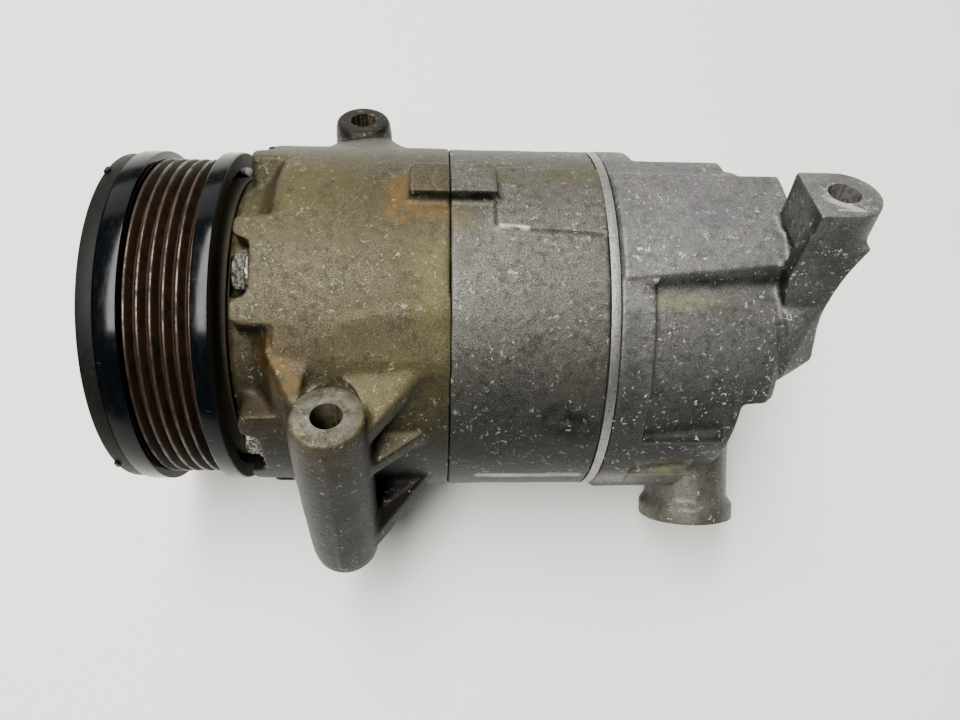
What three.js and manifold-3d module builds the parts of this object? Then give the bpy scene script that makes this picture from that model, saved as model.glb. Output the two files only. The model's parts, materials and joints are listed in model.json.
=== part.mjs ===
// Automotive air-conditioning compressor: a swash-plate pump driven through an electromagnetic clutch.
//
// Everything is laid out in the casting's own frame and turned into place at the end of the file.
// x runs along the shaft from the clutch to the rear head, z along the bolt bores of the mounting
// bosses. The origin is the middle of the hub bolt's front face. Lengths are millimetres, angles are
// degrees about the shaft from +y towards +z.

import * as THREE from 'three';
import { ConvexGeometry } from 'three/addons/geometries/ConvexGeometry.js';
import { mergeVertices } from 'three/addons/utils/BufferGeometryUtils.js';
import Module from 'manifold-3d';

// ---- driving dimensions -------------------------------------------------------------------------

const GAP = 0.3; // clearance between pieces that touch
const LEAN = -23.6; // roll about the shaft when the barrel and the far boss lie on a bench
const DOWN = -90 - LEAN; // direction of the bench seen from the shaft
const BARREL_SIDES = 30;
const RACE_SIDES = 24;
const BORE_SIDES = 14;

const CASE_RADIUS = 57; // front housing and rear head flange
const BLOCK_RADIUS = 56.8; // cylinder block and valve plate
const HOUSING_FRONT = 45; // x of the front housing's shoulder
const JOINT = 102.2; // x where the front housing meets the cylinder block
const PLATE_FRONT = 147.1; // x of the valve plate
const PLATE_REAR = 150.1;
const FLANGE_REAR = 160; // x where the rear head's flange ends
const HEAD_END_LOW = 190; // x of the rear head's lower end face
const HEAD_END_HIGH = 200; // x of its upper end face

const CYLINDERS = 6;
const CYLINDER_PITCH = 35; // radius of the circle that the cylinders stand on
const CYLINDER_BORE = 14.5;
const FIRST_CYLINDER = 32;

const CASE_BOLTS = 6;
const FIRST_BOLT = 2;
const BOLT_PITCH = 49.5;
const BOLT_SHANK = 3;
const BOLT_HOLE = 3.4;
const BOLT_SEAT = 47.5; // x of the notch floors that the bolt heads rest on
const HEX_M6 = 5.77; // corner radius of a 10 mm hexagon

const MOUNT_BORE = 4.5; // 9 mm clearance bores for M8 bolts

const RIB_PITCH = 3.56; // PK belt profile
const RIBS = 5;
const PULLEY_FRONT = 5.9;
const PULLEY_REAR = 36.7;
const FLANGE_RADIUS = 54.6;
const CREST_RADIUS = 52.25;
const ROOT_RADIUS = 49.5;

const SHAFT_RADIUS = 9;
const SHAFT_NOSE = 7.5;
const NOSE_RADIUS = 17.2;
const NOSE_BORE = 14.3;

const NEAR_BOSS = { x: 69.1, y: -61.9, top: 23, bottom: -48, radius: 10.2 };
const FAR_BOSS = { x: 71.9, y: 61.9, top: 40, bottom: -31, radius: 9.1 };
const REAR_LUG = { x: 207.2, y: -24.5, top: 70.9, bottom: 56, radius: 10.2 };

const VALVE_BOSS = { x: 188.3, angle: 226, neck: 14.2, lip: 16.2, lipStart: 64, end: 70, bore: 9.5 };
const PORT_PAD = { angle: -LEAN, face: 52, halfWidth: 17, front: 160.5, rear: 195 };

// ---- solid helpers ------------------------------------------------------------------------------

const wasm = await Module();
wasm.setup();

const radians = THREE.MathUtils.degToRad;

function polar(radius, angle) {
  return [radius * Math.cos(radians(angle)), radius * Math.sin(radians(angle))];
}

function signedVolume(points, triangles) {
  const corner = [new THREE.Vector3(), new THREE.Vector3(), new THREE.Vector3()];
  let sum = 0;
  for (let i = 0; i < triangles.length; i += 3) {
    corner.forEach((vertex, k) => vertex.fromArray(points, 3 * triangles[i + k]));
    sum += corner[0].dot(corner[1].clone().cross(corner[2]));
  }
  return sum / 6;
}

// A closed three.js geometry as a solid with its faces pointing out.
function solid(geometry) {
  const bare = new THREE.BufferGeometry();
  bare.setAttribute('position', geometry.getAttribute('position'));
  bare.setIndex(geometry.getIndex());
  const merged = mergeVertices(bare);
  const points = Float32Array.from(merged.getAttribute('position').array);
  const index = merged.getIndex().array;
  const kept = [];
  for (let i = 0; i < index.length; i += 3) {
    const [a, b, c] = [index[i], index[i + 1], index[i + 2]];
    if (a !== b && b !== c && a !== c) kept.push([a, b, c]);
  }
  const inward = signedVolume(points, kept.flat()) < 0;
  const triVerts = Uint32Array.from(kept.flatMap(([a, b, c]) => (inward ? [a, c, b] : [a, b, c])));
  return new wasm.Manifold(new wasm.Mesh({ numProp: 3, vertProperties: points, triVerts }));
}

// Profile points are [x, radius]; the profile ends on the axis or is closed back to its start.
function revolve(profile, sides = BARREL_SIDES) {
  const onAxis = profile[0][1] === 0;
  const outline = onAxis ? profile : [...profile, profile[0]];
  const points = outline.map(([x, r]) => new THREE.Vector2(r, x));
  const start = radians(DOWN + 180 / sides - 90);
  const geometry = new THREE.LatheGeometry(points, sides, start, 2 * Math.PI);
  return solid(geometry.rotateZ(-Math.PI / 2));
}

function disc(x0, x1, radius, sides = BARREL_SIDES) {
  return revolve([[x0, 0], [x0, radius], [x1, radius], [x1, 0]], sides);
}

function ring(x0, x1, inner, outer, sides = BARREL_SIDES) {
  return revolve([[x0, inner], [x0, outer], [x1, outer], [x1, inner]], sides);
}

function block(x0, x1, y0, y1, z0, z1) {
  const geometry = new THREE.BoxGeometry(x1 - x0, y1 - y0, z1 - z0);
  return solid(geometry.translate((x0 + x1) / 2, (y0 + y1) / 2, (z0 + z1) / 2));
}

// A round bar or cone between two points.
function rod(from, to, radius, sides = BORE_SIDES, endRadius = radius) {
  const start = new THREE.Vector3(...from);
  const end = new THREE.Vector3(...to);
  const axis = end.clone().sub(start);
  const geometry = new THREE.CylinderGeometry(endRadius, radius, axis.length(), sides);
  const turn = new THREE.Quaternion().setFromUnitVectors(
    new THREE.Vector3(0, 1, 0), axis.clone().normalize(),
  );
  geometry.applyQuaternion(turn);
  const middle = start.add(end).multiplyScalar(0.5);
  return solid(geometry.translate(middle.x, middle.y, middle.z));
}

function hull(points) {
  return solid(new ConvexGeometry(points.map((point) => new THREE.Vector3(...point))));
}

// A [y, z] outline pushed along the shaft.
function prism(shape, x0, x1, curveSegments = 10) {
  const geometry = new THREE.ExtrudeGeometry(shape, {
    depth: x1 - x0, bevelEnabled: false, curveSegments,
  });
  const basis = new THREE.Matrix4().makeBasis(
    new THREE.Vector3(0, 1, 0), new THREE.Vector3(0, 0, 1), new THREE.Vector3(1, 0, 0),
  );
  return solid(geometry.applyMatrix4(basis).translate(x0, 0, 0));
}

// An [x, y] outline pushed upwards.
function slab(shape, z0, z1, curveSegments = 10) {
  const geometry = new THREE.ExtrudeGeometry(shape, {
    depth: z1 - z0, bevelEnabled: false, curveSegments,
  });
  return solid(geometry.translate(0, 0, z0));
}

// An [x, z] outline pushed from y0 back to y1.
function panel(shape, y0, y1, curveSegments = 10) {
  const geometry = new THREE.ExtrudeGeometry(shape, {
    depth: y1 - y0, bevelEnabled: false, curveSegments,
  });
  return solid(geometry.rotateX(Math.PI / 2).translate(0, y1, 0));
}

// A piece of a ring between two radii, centred on an angle.
function sector(x0, x1, inner, outer, angle, halfAngle) {
  const shape = new THREE.Shape();
  shape.absarc(0, 0, outer, radians(angle - halfAngle), radians(angle + halfAngle), false);
  shape.absarc(0, 0, inner, radians(angle + halfAngle), radians(angle - halfAngle), true);
  shape.closePath();
  return prism(shape, x0, x1, 4);
}

// Points on a line that leaves the shaft at an angle: along it by reach, beside it by width.
function onSpoke(x, angle, reach, width = 0) {
  const [dy, dz] = polar(1, angle);
  return [x, reach * dy - width * dz, reach * dz + width * dy];
}

// A straight-sided block on a spoke, from one reach and half width to another.
function spokeBlock(x0, x1, angle, from, to, halfWidth, endHalfWidth = halfWidth) {
  const ends = [[from, halfWidth], [to, endHalfWidth]];
  return hull([x0, x1].flatMap((x) => ends.flatMap(([reach, half]) => (
    [onSpoke(x, angle, reach, -half), onSpoke(x, angle, reach, half)]
  ))));
}

// A wedge of the given half angle, wide enough to trim anything on the barrel.
function wedge(x0, x1, angle, halfAngle) {
  const slope = Math.tan(radians(halfAngle));
  return spokeBlock(x0, x1, angle, 30, 70, 30 * slope, 70 * slope);
}

// A strip with round ends between two [y, z] points.
function strip(x0, x1, from, to, halfWidth) {
  const along = Math.atan2(to[1] - from[1], to[0] - from[0]);
  const shape = new THREE.Shape();
  shape.absarc(to[0], to[1], halfWidth, along - Math.PI / 2, along + Math.PI / 2, false);
  shape.absarc(from[0], from[1], halfWidth, along + Math.PI / 2, along + 1.5 * Math.PI, false);
  shape.closePath();
  return prism(shape, x0, x1, 4);
}

function join(...solids) {
  return solids.reduce((sum, next) => sum.add(next));
}

function cut(body, ...tools) {
  return tools.reduce((rest, tool) => rest.subtract(tool), body);
}

// The same tool repeated about the shaft.
function around(count, first, makeTool) {
  return Array.from({ length: count }, (_, k) => makeTool(first + (360 / count) * k));
}

function barAt(x0, x1, pitch, angle, radius, sides = 12) {
  const [y, z] = polar(pitch, angle);
  return rod([x0, y, z], [x1, y, z], radius, sides);
}

const boltHoles = (x0, x1) => (
  around(CASE_BOLTS, FIRST_BOLT, (angle) => barAt(x0, x1, BOLT_PITCH, angle, BOLT_HOLE, 8))
);

// ---- finishes and the assembly ------------------------------------------------------------------

function finish(color, roughness, metalness) {
  return new THREE.MeshStandardMaterial({ color, roughness, metalness });
}

const FRONT_CAST = finish(0x8f8873, 0.7, 0.6);
const BLOCK_CAST = finish(0x85878a, 0.55, 0.7);
const HEAD_CAST = finish(0x8b8a8c, 0.65, 0.6);
const BRIGHT_STEEL = finish(0xc9c8c2, 0.3, 1);
const DARK_STEEL = finish(0x4b4a46, 0.45, 0.9);
const BLACK_PAINT = finish(0x1d2127, 0.3, 0.3);
const SPRING_STEEL = finish(0x6d7075, 0.35, 1);
const COPPER = finish(0x9a5a35, 0.5, 0.9);
const RUBBER = finish(0x161616, 0.9, 0);
const PLASTIC = finish(0x222222, 0.6, 0);
const PISTON_ALLOY = finish(0xb5b7b9, 0.4, 0.8);

const compressor = new THREE.Group();

function piece(name, body, material, turn = 0) {
  const made = body.getMesh();
  const geometry = new THREE.BufferGeometry();
  geometry.setAttribute('position', new THREE.BufferAttribute(made.vertProperties, 3));
  geometry.setIndex(new THREE.BufferAttribute(made.triVerts, 1));
  geometry.computeVertexNormals();
  const mesh = new THREE.Mesh(geometry, material);
  mesh.name = name;
  mesh.rotation.x = radians(turn);
  compressor.add(mesh);
}

// ---- clutch: hub, armature and leaf springs -----------------------------------------------------

const FACE = 0.8; // x of the hub flange and the armature plate
const ARMATURE_REAR = 5.4;
const HUB_STUD_PITCH = 21;
const ARMATURE_STUD_PITCH = 36;
const STUD_SWEEP = 62; // angle between the two ends of a leaf spring
const STUD = 1.9;
const STUD_HEAD = 3.4;
const STUD_HEAD_LIFT = -0.5; // underside of the stud heads, clear of the spring through the stroke

function stud(pitch, angle, root) {
  const head = barAt(STUD_HEAD_LIFT - 1.2, STUD_HEAD_LIFT, pitch, angle, STUD_HEAD, 10);
  return head.add(barAt(STUD_HEAD_LIFT - 0.1, root, pitch, angle, STUD, 8));
}

const hubBolt = join(disc(0, 5, HEX_M6, 6), disc(4.9, 24, BOLT_SHANK, 12));
piece('hub_bolt', hubBolt, BRIGHT_STEEL);

const hubProfile = [
  [FACE, 7.5], [FACE, 27.5], [3.8, 27.5], [3.8, 12.5], [6, 10.8], [21, 10.8],
  [21, SHAFT_NOSE + GAP], [8.3, SHAFT_NOSE + GAP], [8.3, 3.3], [5.3, 3.3], [5.3, 7.5],
];
const hubStuds = around(3, 0, (angle) => stud(HUB_STUD_PITCH, angle, 3));
piece('clutch_hub', join(revolve(hubProfile, RACE_SIDES), ...hubStuds), DARK_STEEL);

const armatureRing = ring(FACE, ARMATURE_REAR, 30, 53.6);
const armatureStuds = around(3, STUD_SWEEP, (angle) => stud(ARMATURE_STUD_PITCH, angle, 5));
const rimTabs = [83, 193, 313].map((angle) => sector(FACE, 3, 53, 54.8, angle, 2.5));
const fluxSlots = around(3, 0, (angle) => sector(FACE - 1, 6, 42, 44, angle, 45));
const armature = cut(join(armatureRing, ...armatureStuds, ...rimTabs), ...fluxSlots);
piece('armature_plate', armature, DARK_STEEL);

const leafEnds = [polar(HUB_STUD_PITCH, 0), polar(ARMATURE_STUD_PITCH, STUD_SWEEP)];
const leafSpring = cut(
  strip(0, 0.5, leafEnds[0], leafEnds[1], 5.5),
  barAt(-1, 1, HUB_STUD_PITCH, 0, STUD + GAP + 0.1, 8),
  barAt(-1, 1, ARMATURE_STUD_PITCH, STUD_SWEEP, STUD + GAP + 0.1, 8),
);
for (let k = 0; k < 3; k += 1) piece(`leaf_spring_${k + 1}`, leafSpring, SPRING_STEEL, 120 * k);

// ---- pulley and its bearing ---------------------------------------------------------------------

const BEARING = { front: 12, rear: 32, inner: 17.5, outer: 26.05, balls: 21.8 };
const FIRST_CREST = 13;
const CREST_HALF = 0.35;

const beltProfile = [[12.1, FLANGE_RADIUS], [12.2, 50.8], [FIRST_CREST - CREST_HALF, 50.8]];
for (let k = 0; k < RIBS; k += 1) {
  const crest = FIRST_CREST + RIB_PITCH * k;
  const root = crest + RIB_PITCH / 2;
  beltProfile.push([crest - (k === 0 ? CREST_HALF - 0.1 : CREST_HALF), CREST_RADIUS]);
  beltProfile.push([crest + CREST_HALF, CREST_RADIUS]);
  beltProfile.push([root, ROOT_RADIUS]);
}
const lastCrest = FIRST_CREST + RIB_PITCH * RIBS;
beltProfile.push([lastCrest - CREST_HALF, CREST_RADIUS], [31.3, CREST_RADIUS]);

const pulleyProfile = [
  [PULLEY_FRONT, 22], [PULLEY_FRONT, FLANGE_RADIUS], ...beltProfile,
  [31.4, FLANGE_RADIUS], [PULLEY_REAR, FLANGE_RADIUS], [PULLEY_REAR, 50], [34, 47.4], [11, 47.4],
  [11, 29.6], [33, 29.6], [33, BEARING.outer + GAP], [11.6, BEARING.outer + GAP], [11.6, 22],
];
piece('pulley', revolve(pulleyProfile), BLACK_PAINT);

// A race or cage track: half a circle of points round the ball circle.
function track(radius, side) {
  const middle = (BEARING.front + BEARING.rear) / 2;
  return [-60, 0, 60].map((angle) => [
    middle + side * radius * Math.sin(radians(angle)),
    BEARING.balls + side * radius * Math.cos(radians(angle)),
  ]);
}
const outerRace = [
  [BEARING.rear, 23.6], [BEARING.rear, BEARING.outer], [BEARING.front, BEARING.outer],
  [BEARING.front, 23.6], ...track(2.8, 1),
];
const innerRace = [
  [BEARING.front, 20], [BEARING.front, BEARING.inner], [BEARING.rear, BEARING.inner],
  [BEARING.rear, 20], ...track(2.8, -1),
];
piece('bearing_outer_race', revolve(outerRace, RACE_SIDES), BRIGHT_STEEL);
piece('bearing_inner_race', revolve(innerRace, RACE_SIDES), BRIGHT_STEEL);

function ball(angle) {
  const [y, z] = polar(BEARING.balls, angle);
  return solid(new THREE.SphereGeometry(2.2, 6, 4).translate(22, y, z));
}
const cage = ring(18, 26, 21.2, 22.4, RACE_SIDES);
piece('bearing_balls', join(cage, ...around(8, 15, ball)), SPRING_STEEL);

// A snap ring with its gap on the +y side.
function snapRing(x0, x1, inner, outer, sides, halfGap) {
  return cut(ring(x0, x1, inner, outer, sides), block(x0 - 1, x1 + 1, 0, outer + 1, -halfGap, halfGap));
}
piece('bearing_snap_ring', snapRing(10.4, 11.6, 16, 19.8, RACE_SIDES, 3), SPRING_STEEL);

// ---- clutch coil --------------------------------------------------------------------------------

const coilProfile = [
  [14, 46.6], [39, 46.6], [39, 20.4], [37, 20.4], [37, 30.4], [14, 30.4],
  [14, 33.4], [33, 33.4], [33, 43.6], [14, 43.6],
];
piece('coil_housing', revolve(coilProfile, RACE_SIDES), DARK_STEEL);
piece('coil_winding', ring(15, 33 - GAP, 33.4 + GAP, 43.6 - GAP, RACE_SIDES), COPPER);
piece('coil_snap_ring', snapRing(35.3, 36.5, 18.8, 23, RACE_SIDES, 3), SPRING_STEEL);

const CONNECTOR_ANGLE = -28;
const coilConnector = cut(
  join(
    spokeBlock(37.4, 39.6, CONNECTOR_ANGLE, 46.9, 56, 7),
    spokeBlock(37.4, 45.2, CONNECTOR_ANGLE, 53.5, 65, 7),
  ),
  spokeBlock(38.4, 44.2, CONNECTOR_ANGLE, 56, 66, 5.5),
);
piece('coil_connector', coilConnector, PLASTIC);

// ---- front housing ------------------------------------------------------------------------------

const CAVITY_RADIUS = 52.8;
const CAVITY_FRONT = 60;
const LOBE_HALF = 16; // half angle of the lobe round each bolt head
const NOTCH_HALF = 8.6; // half width of the notch that the bolt head sits in

const noseOutline = [
  [9.5, 0], [9.5, NOSE_RADIUS], [10.1, NOSE_RADIUS], [10.1, 15.7], [11.9, 15.7], [11.9, NOSE_RADIUS],
  [32.3, NOSE_RADIUS], [32.3, 20], [35, 20], [35, 18.4], [36.8, 18.4], [36.8, 20], [42, 20], [42, 0],
];
const housingOutline = [
  [39.3, 0], [39.3, 46], [42.5, 48.5], [HOUSING_FRONT, 51], [50.5, 52.4], [52.6, 55.4],
  [54.5, CASE_RADIUS], [JOINT, CASE_RADIUS], [JOINT, 0],
];
const lobes = ring(42.3, 54.5, 45, CASE_RADIUS).intersect(
  join(...around(CASE_BOLTS, FIRST_BOLT, (angle) => wedge(40, 56, angle, LOBE_HALF))),
);
const notches = around(CASE_BOLTS, FIRST_BOLT, (angle) => (
  spokeBlock(38, BOLT_SEAT, angle, 42.5, 62, NOTCH_HALF)
));

// A mounting boss with a flat, chamfered end at the bottom.
function boss({ x, y, top, bottom, radius }) {
  const chamfer = 2;
  const barrel = rod([x, y, bottom + chamfer], [x, y, top], radius, 18);
  const end = rod([x, y, bottom], [x, y, bottom + chamfer + 0.01], radius - chamfer, 18, radius);
  return barrel.add(end);
}

function bossBore({ x, y, top, bottom }) {
  return rod([x, y, bottom - 1], [x, y, top + 1], MOUNT_BORE, BORE_SIDES);
}

// The machined seat round the top of a bore, cut out of any rib that stands above it.
function spotface({ x, y, top, radius }) {
  return rod([x, y, top], [x, y, top + 20], radius + 0.8, 18);
}

// A cast shelf: its top outline with the thickness below each point.
function shelf(points, thickness) {
  return hull(points.flatMap(([x, y, z]) => [[x, y, z], [x, y, z - thickness]]));
}

const WEB_REAR = 96.4; // x where the webs run into the joint flange
const nearShelves = [
  shelf([[70.5, -61, 20.5], [78.5, -65, 18], [WEB_REAR, -49.8, 27.6], [70.5, -46.5, 32.6]], 4.5),
  shelf([[66, -56, 6], [79, -65, 4.5], [WEB_REAR, -56.2, 9.3], [WEB_REAR, -52, 9.3], [66, -52, 8]], 4.5),
  shelf([[70, -66, -33], [79, -65, -33], [WEB_REAR, -54.6, -13.5], [WEB_REAR, -50, -13], [66, -44, -26]], 7),
];
const nearWeb = hull([
  [65, -60, 21], [73, -60, 21], [65, -60, -43], [73, -60, -43],
  [65, -49, 24], [77, -49, 24], [64, -40, -38], [77, -40, -38],
]);
const farShelf = shelf([[64, 57, 35], [80, 57, 37.5], [90.5, 20.5, 53.2], [63, 18, 54]], 5);
const farWeb = hull([
  [68, 60, 36], [76, 60, 36], [68, 60, -28], [76, 60, -28],
  [66, 42, 38], [78, 42, 38], [66, 46, -31], [78, 46, -31],
]);

const JOINT_BLOCK = { front: 91, rear: 116, near: -10, far: 4, top: 60 };
const frontJointBlock = block(
  JOINT_BLOCK.front, JOINT, JOINT_BLOCK.near, JOINT_BLOCK.far, 54, JOINT_BLOCK.top,
);

const housingCavities = [
  disc(CAVITY_FRONT, JOINT + 1, CAVITY_RADIUS),
  disc(8, CAVITY_FRONT + 1, NOSE_BORE, RACE_SIDES),
  ...boltHoles(40, CAVITY_FRONT + 1),
  bossBore(NEAR_BOSS),
  bossBore(FAR_BOSS),
  spotface(NEAR_BOSS),
  spotface(FAR_BOSS),
];
const frontHousing = cut(
  join(
    revolve(noseOutline, RACE_SIDES), revolve(housingOutline), lobes, frontJointBlock,
    boss(NEAR_BOSS), nearWeb, ...nearShelves, boss(FAR_BOSS), farWeb, farShelf,
  ),
  ...notches, ...housingCavities,
);
piece('front_housing', frontHousing, FRONT_CAST);

// ---- cylinder block, valve plate and reeds ------------------------------------------------------

const BLOCK_FRONT = JOINT + GAP;
const BLOCK_REAR = PLATE_FRONT - GAP;
const REED_SEAT = 146;
const SEAL_RADIUS = 54.6;

function sealGroove(x0, x1) {
  return ring(x0, x1, SEAL_RADIUS - 1.1, SEAL_RADIUS + 1.1);
}

const rearJointBlock = block(
  BLOCK_FRONT, JOINT_BLOCK.rear, JOINT_BLOCK.near, JOINT_BLOCK.far, 50, JOINT_BLOCK.top,
);
const topPad = spokeBlock(JOINT_BLOCK.rear - 0.5, BLOCK_REAR, 97, 50, 57.9, 12.5);
const cylinders = around(CYLINDERS, FIRST_CYLINDER, (angle) => (
  barAt(JOINT, BLOCK_REAR + 1, CYLINDER_PITCH, angle, CYLINDER_BORE, BORE_SIDES)
));
const cylinderBlock = cut(
  join(disc(BLOCK_FRONT, BLOCK_REAR, BLOCK_RADIUS), rearJointBlock, topPad),
  ...cylinders,
  disc(JOINT, 121, SHAFT_RADIUS + 0.4, BORE_SIDES),
  disc(120, BLOCK_REAR + 1, 13.3, BORE_SIDES),
  disc(REED_SEAT, BLOCK_REAR + 1, 50.4),
  sealGroove(JOINT, 104.6),
  ...boltHoles(JOINT, BLOCK_REAR + 1),
);
piece('cylinder_block', cylinderBlock, BLOCK_CAST);

piece('front_o_ring', ring(BLOCK_FRONT + GAP, 104.3, SEAL_RADIUS - 0.8, SEAL_RADIUS + 0.8), RUBBER);

const SUCTION_PITCH = 42;
const DISCHARGE_PITCH = 28;
const holesAt = (x0, x1, pitch, radius) => (
  around(CYLINDERS, FIRST_CYLINDER, (angle) => barAt(x0, x1, pitch, angle, radius, 8))
);
const suctionReed = cut(
  disc(REED_SEAT + GAP, BLOCK_REAR, 50),
  ...around(CASE_BOLTS, FIRST_BOLT, (angle) => (
    barAt(145, 148, BOLT_PITCH, angle, BOLT_HOLE + 0.6, 8)
  )),
  ...holesAt(145, 148, DISCHARGE_PITCH, 3),
);
piece('suction_reed', suctionReed, SPRING_STEEL);

const valvePlate = cut(
  disc(PLATE_FRONT, PLATE_REAR, BLOCK_RADIUS),
  ...boltHoles(146, 152),
  ...holesAt(146, 152, SUCTION_PITCH, 2.8),
  ...holesAt(146, 152, DISCHARGE_PITCH, 2.4),
);
piece('valve_plate', valvePlate, BRIGHT_STEEL);

const HEAD_FRONT = PLATE_REAR + GAP;
const reedFingers = around(CYLINDERS, FIRST_CYLINDER, (angle) => (
  strip(HEAD_FRONT, HEAD_FRONT + 0.5, polar(18, angle), polar(27.5, angle), 4)
));
const reedHub = disc(HEAD_FRONT, HEAD_FRONT + 0.5, 20, BORE_SIDES);
piece('discharge_reed', join(reedHub, ...reedFingers), SPRING_STEEL);

// ---- rear head ----------------------------------------------------------------------------------

const BLOCK_TOP_NEAR = -31; // y of the upright face under the head's upper block
const BLOCK_TOP_FAR = 14.3;
const BLOCK_TOP_STEP = 3.5; // y where the upper block ends behind x = BLOCK_STEP
const BLOCK_STEP = 187;

const headBarrel = [
  [151, 0], [151, 54], [162, 54], [HEAD_END_HIGH - 3, 51.3], [HEAD_END_HIGH, 49], [HEAD_END_HIGH, 0],
];
const barrelHigh = revolve(headBarrel).intersect(block(150, 210, -60, 60, 13, 60));
const barrelLow = revolve(headBarrel).intersect(block(150, HEAD_END_LOW, -60, 60, -60, 14));
const upperBlock = disc(151, HEAD_END_HIGH + 2, CASE_RADIUS)
  .intersect(join(
    block(150, BLOCK_STEP, BLOCK_TOP_NEAR, BLOCK_TOP_FAR, 20, 60),
    block(150, HEAD_END_HIGH + 2, BLOCK_TOP_NEAR, BLOCK_TOP_STEP, 20, 60),
  ));

const valveBossRod = (from, to, radius, sides = 16, endRadius = radius) => rod(
  onSpoke(VALVE_BOSS.x, VALVE_BOSS.angle, from), onSpoke(VALVE_BOSS.x, VALVE_BOSS.angle, to),
  radius, sides, endRadius,
);
const valveBoss = join(
  valveBossRod(4, VALVE_BOSS.lipStart + 1, VALVE_BOSS.neck),
  valveBossRod(VALVE_BOSS.lipStart - 1.5, VALVE_BOSS.lipStart + 1, VALVE_BOSS.neck, 16, VALVE_BOSS.lip),
  valveBossRod(VALVE_BOSS.lipStart + 0.99, VALVE_BOSS.end, VALVE_BOSS.lip),
);
const valveShelf = hull([
  [151, -53, -18], [183, -53, -18], [151, -40, -14], [183, -40, -14],
  [151, -49.5, -30.5], [183, -49.5, -30.5], [151, -38, -40], [183, -38, -40],
]);

const portPad = spokeBlock(
  PORT_PAD.front, PORT_PAD.rear, PORT_PAD.angle, 30, PORT_PAD.face, PORT_PAD.halfWidth,
);

// The rear lug: a round-ended tongue on an arm with a hollowed back edge.
const TONGUE_FRONT = 197.5;
const tongue = new THREE.Shape();
tongue.moveTo(TONGUE_FRONT, REAR_LUG.y + REAR_LUG.radius);
tongue.lineTo(TONGUE_FRONT, REAR_LUG.y - REAR_LUG.radius);
tongue.absarc(REAR_LUG.x, REAR_LUG.y, REAR_LUG.radius, -Math.PI / 2, Math.PI / 2, false);
tongue.closePath();

const ARM = { front: 194, near: REAR_LUG.y - REAR_LUG.radius, far: -29.3, foot: 7.5 };
const arm = new THREE.Shape();
arm.moveTo(ARM.front, ARM.foot + 4);
arm.lineTo(208, ARM.foot);
arm.lineTo(215.1, 17.7);
arm.quadraticCurveTo(206.8, 38, 215.5, 60.2);
arm.lineTo(TONGUE_FRONT, REAR_LUG.bottom + 8);
arm.lineTo(ARM.front, 50);
arm.closePath();
// A gusset on the near side of the arm, with a sloping top.
const armGusset = hull([
  [196, ARM.far, 40], [209.7, ARM.far, 39], [209.7, ARM.near - 0.3, 38.8], [196, -37, 37.5],
  [199.5, -39.2, 33.4], [196, -39.2, 33.4],
  [213, ARM.far, 16], [213.6, -36.5, 18.5], [199.5, -44.5, 20], [196, -44.5, 16], [198, ARM.far, 8],
]);
const rearLug = join(
  slab(tongue, REAR_LUG.bottom, REAR_LUG.top, 9), panel(arm, ARM.near, ARM.far, 6), armGusset,
);

const SUCTION_PORT = { x: 168.5, radius: 7.5, inner: 41 };
const DISCHARGE_PORT = { x: 185.5, radius: 6, inner: 18 };
const PAD_SCREW = { x: 177, radius: 3.4, width: 11.5 };
const spokeBore = (x, from, to, radius, width = 0) => rod(
  onSpoke(x, PORT_PAD.angle, from, width), onSpoke(x, PORT_PAD.angle, to, width), radius, 12,
);
const RELIEF = { pitch: 36, angle: -20 };

const rearHead = cut(
  join(disc(HEAD_FRONT, FLANGE_REAR, CASE_RADIUS), barrelHigh, barrelLow, upperBlock,
    valveBoss, valveShelf, portPad, rearLug),
  disc(150, 176, 33, RACE_SIDES),
  ring(150, 171, 37.5, 46),
  sealGroove(150, 152.6),
  ...boltHoles(150, 166),
  spokeBore(SUCTION_PORT.x, SUCTION_PORT.inner, 60, SUCTION_PORT.radius),
  spokeBore(DISCHARGE_PORT.x, DISCHARGE_PORT.inner, 60, DISCHARGE_PORT.radius),
  rod(onSpoke(170, PORT_PAD.angle, 23), onSpoke(DISCHARGE_PORT.x, PORT_PAD.angle, 23), 4.5, 12),
  spokeBore(PAD_SCREW.x, 38, 60, PAD_SCREW.radius, PAD_SCREW.width),
  valveBossRod(24, VALVE_BOSS.end + 1, VALVE_BOSS.bore, BORE_SIDES),
  barAt(180, HEAD_END_LOW + 1, RELIEF.pitch, RELIEF.angle, 5.4, 8),
  bossBore({ ...REAR_LUG, bottom: 50 }),
);
piece('rear_head', rearHead, HEAD_CAST);
piece('rear_o_ring', ring(HEAD_FRONT + GAP, 152.3, SEAL_RADIUS - 0.8, SEAL_RADIUS + 0.8), RUBBER);

// ---- bolts and valves ---------------------------------------------------------------------------

const caseBolt = join(
  barAt(42.9, BOLT_SEAT - GAP, BOLT_PITCH, 0, HEX_M6, 6),
  barAt(BOLT_SEAT - 1, 164, BOLT_PITCH, 0, BOLT_SHANK, 8),
);
for (let k = 0; k < CASE_BOLTS; k += 1) {
  piece(`case_bolt_${k + 1}`, caseBolt, BRIGHT_STEEL, FIRST_BOLT + (360 / CASE_BOLTS) * k);
}

const controlValve = join(
  valveBossRod(25, 50, 7.4, BORE_SIDES),
  valveBossRod(34, 42, 9.1, BORE_SIDES),
  valveBossRod(49, 67.4, 9.1, BORE_SIDES),
);
piece('control_valve', controlValve, BRIGHT_STEEL);
const controlValveRing = cut(valveBossRod(67.8, 69, 9.2, 12), valveBossRod(67, 70, 7, 12));
piece('control_valve_ring', controlValveRing, SPRING_STEEL);

const reliefValve = join(
  barAt(181, HEAD_END_LOW + 1, RELIEF.pitch, RELIEF.angle, 4.8, 8),
  barAt(HEAD_END_LOW + GAP, HEAD_END_LOW + 6, RELIEF.pitch, RELIEF.angle, 8.1, 6),
);
piece('relief_valve', reliefValve, BRIGHT_STEEL);

// ---- shaft, seal and bearings -------------------------------------------------------------------

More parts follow.
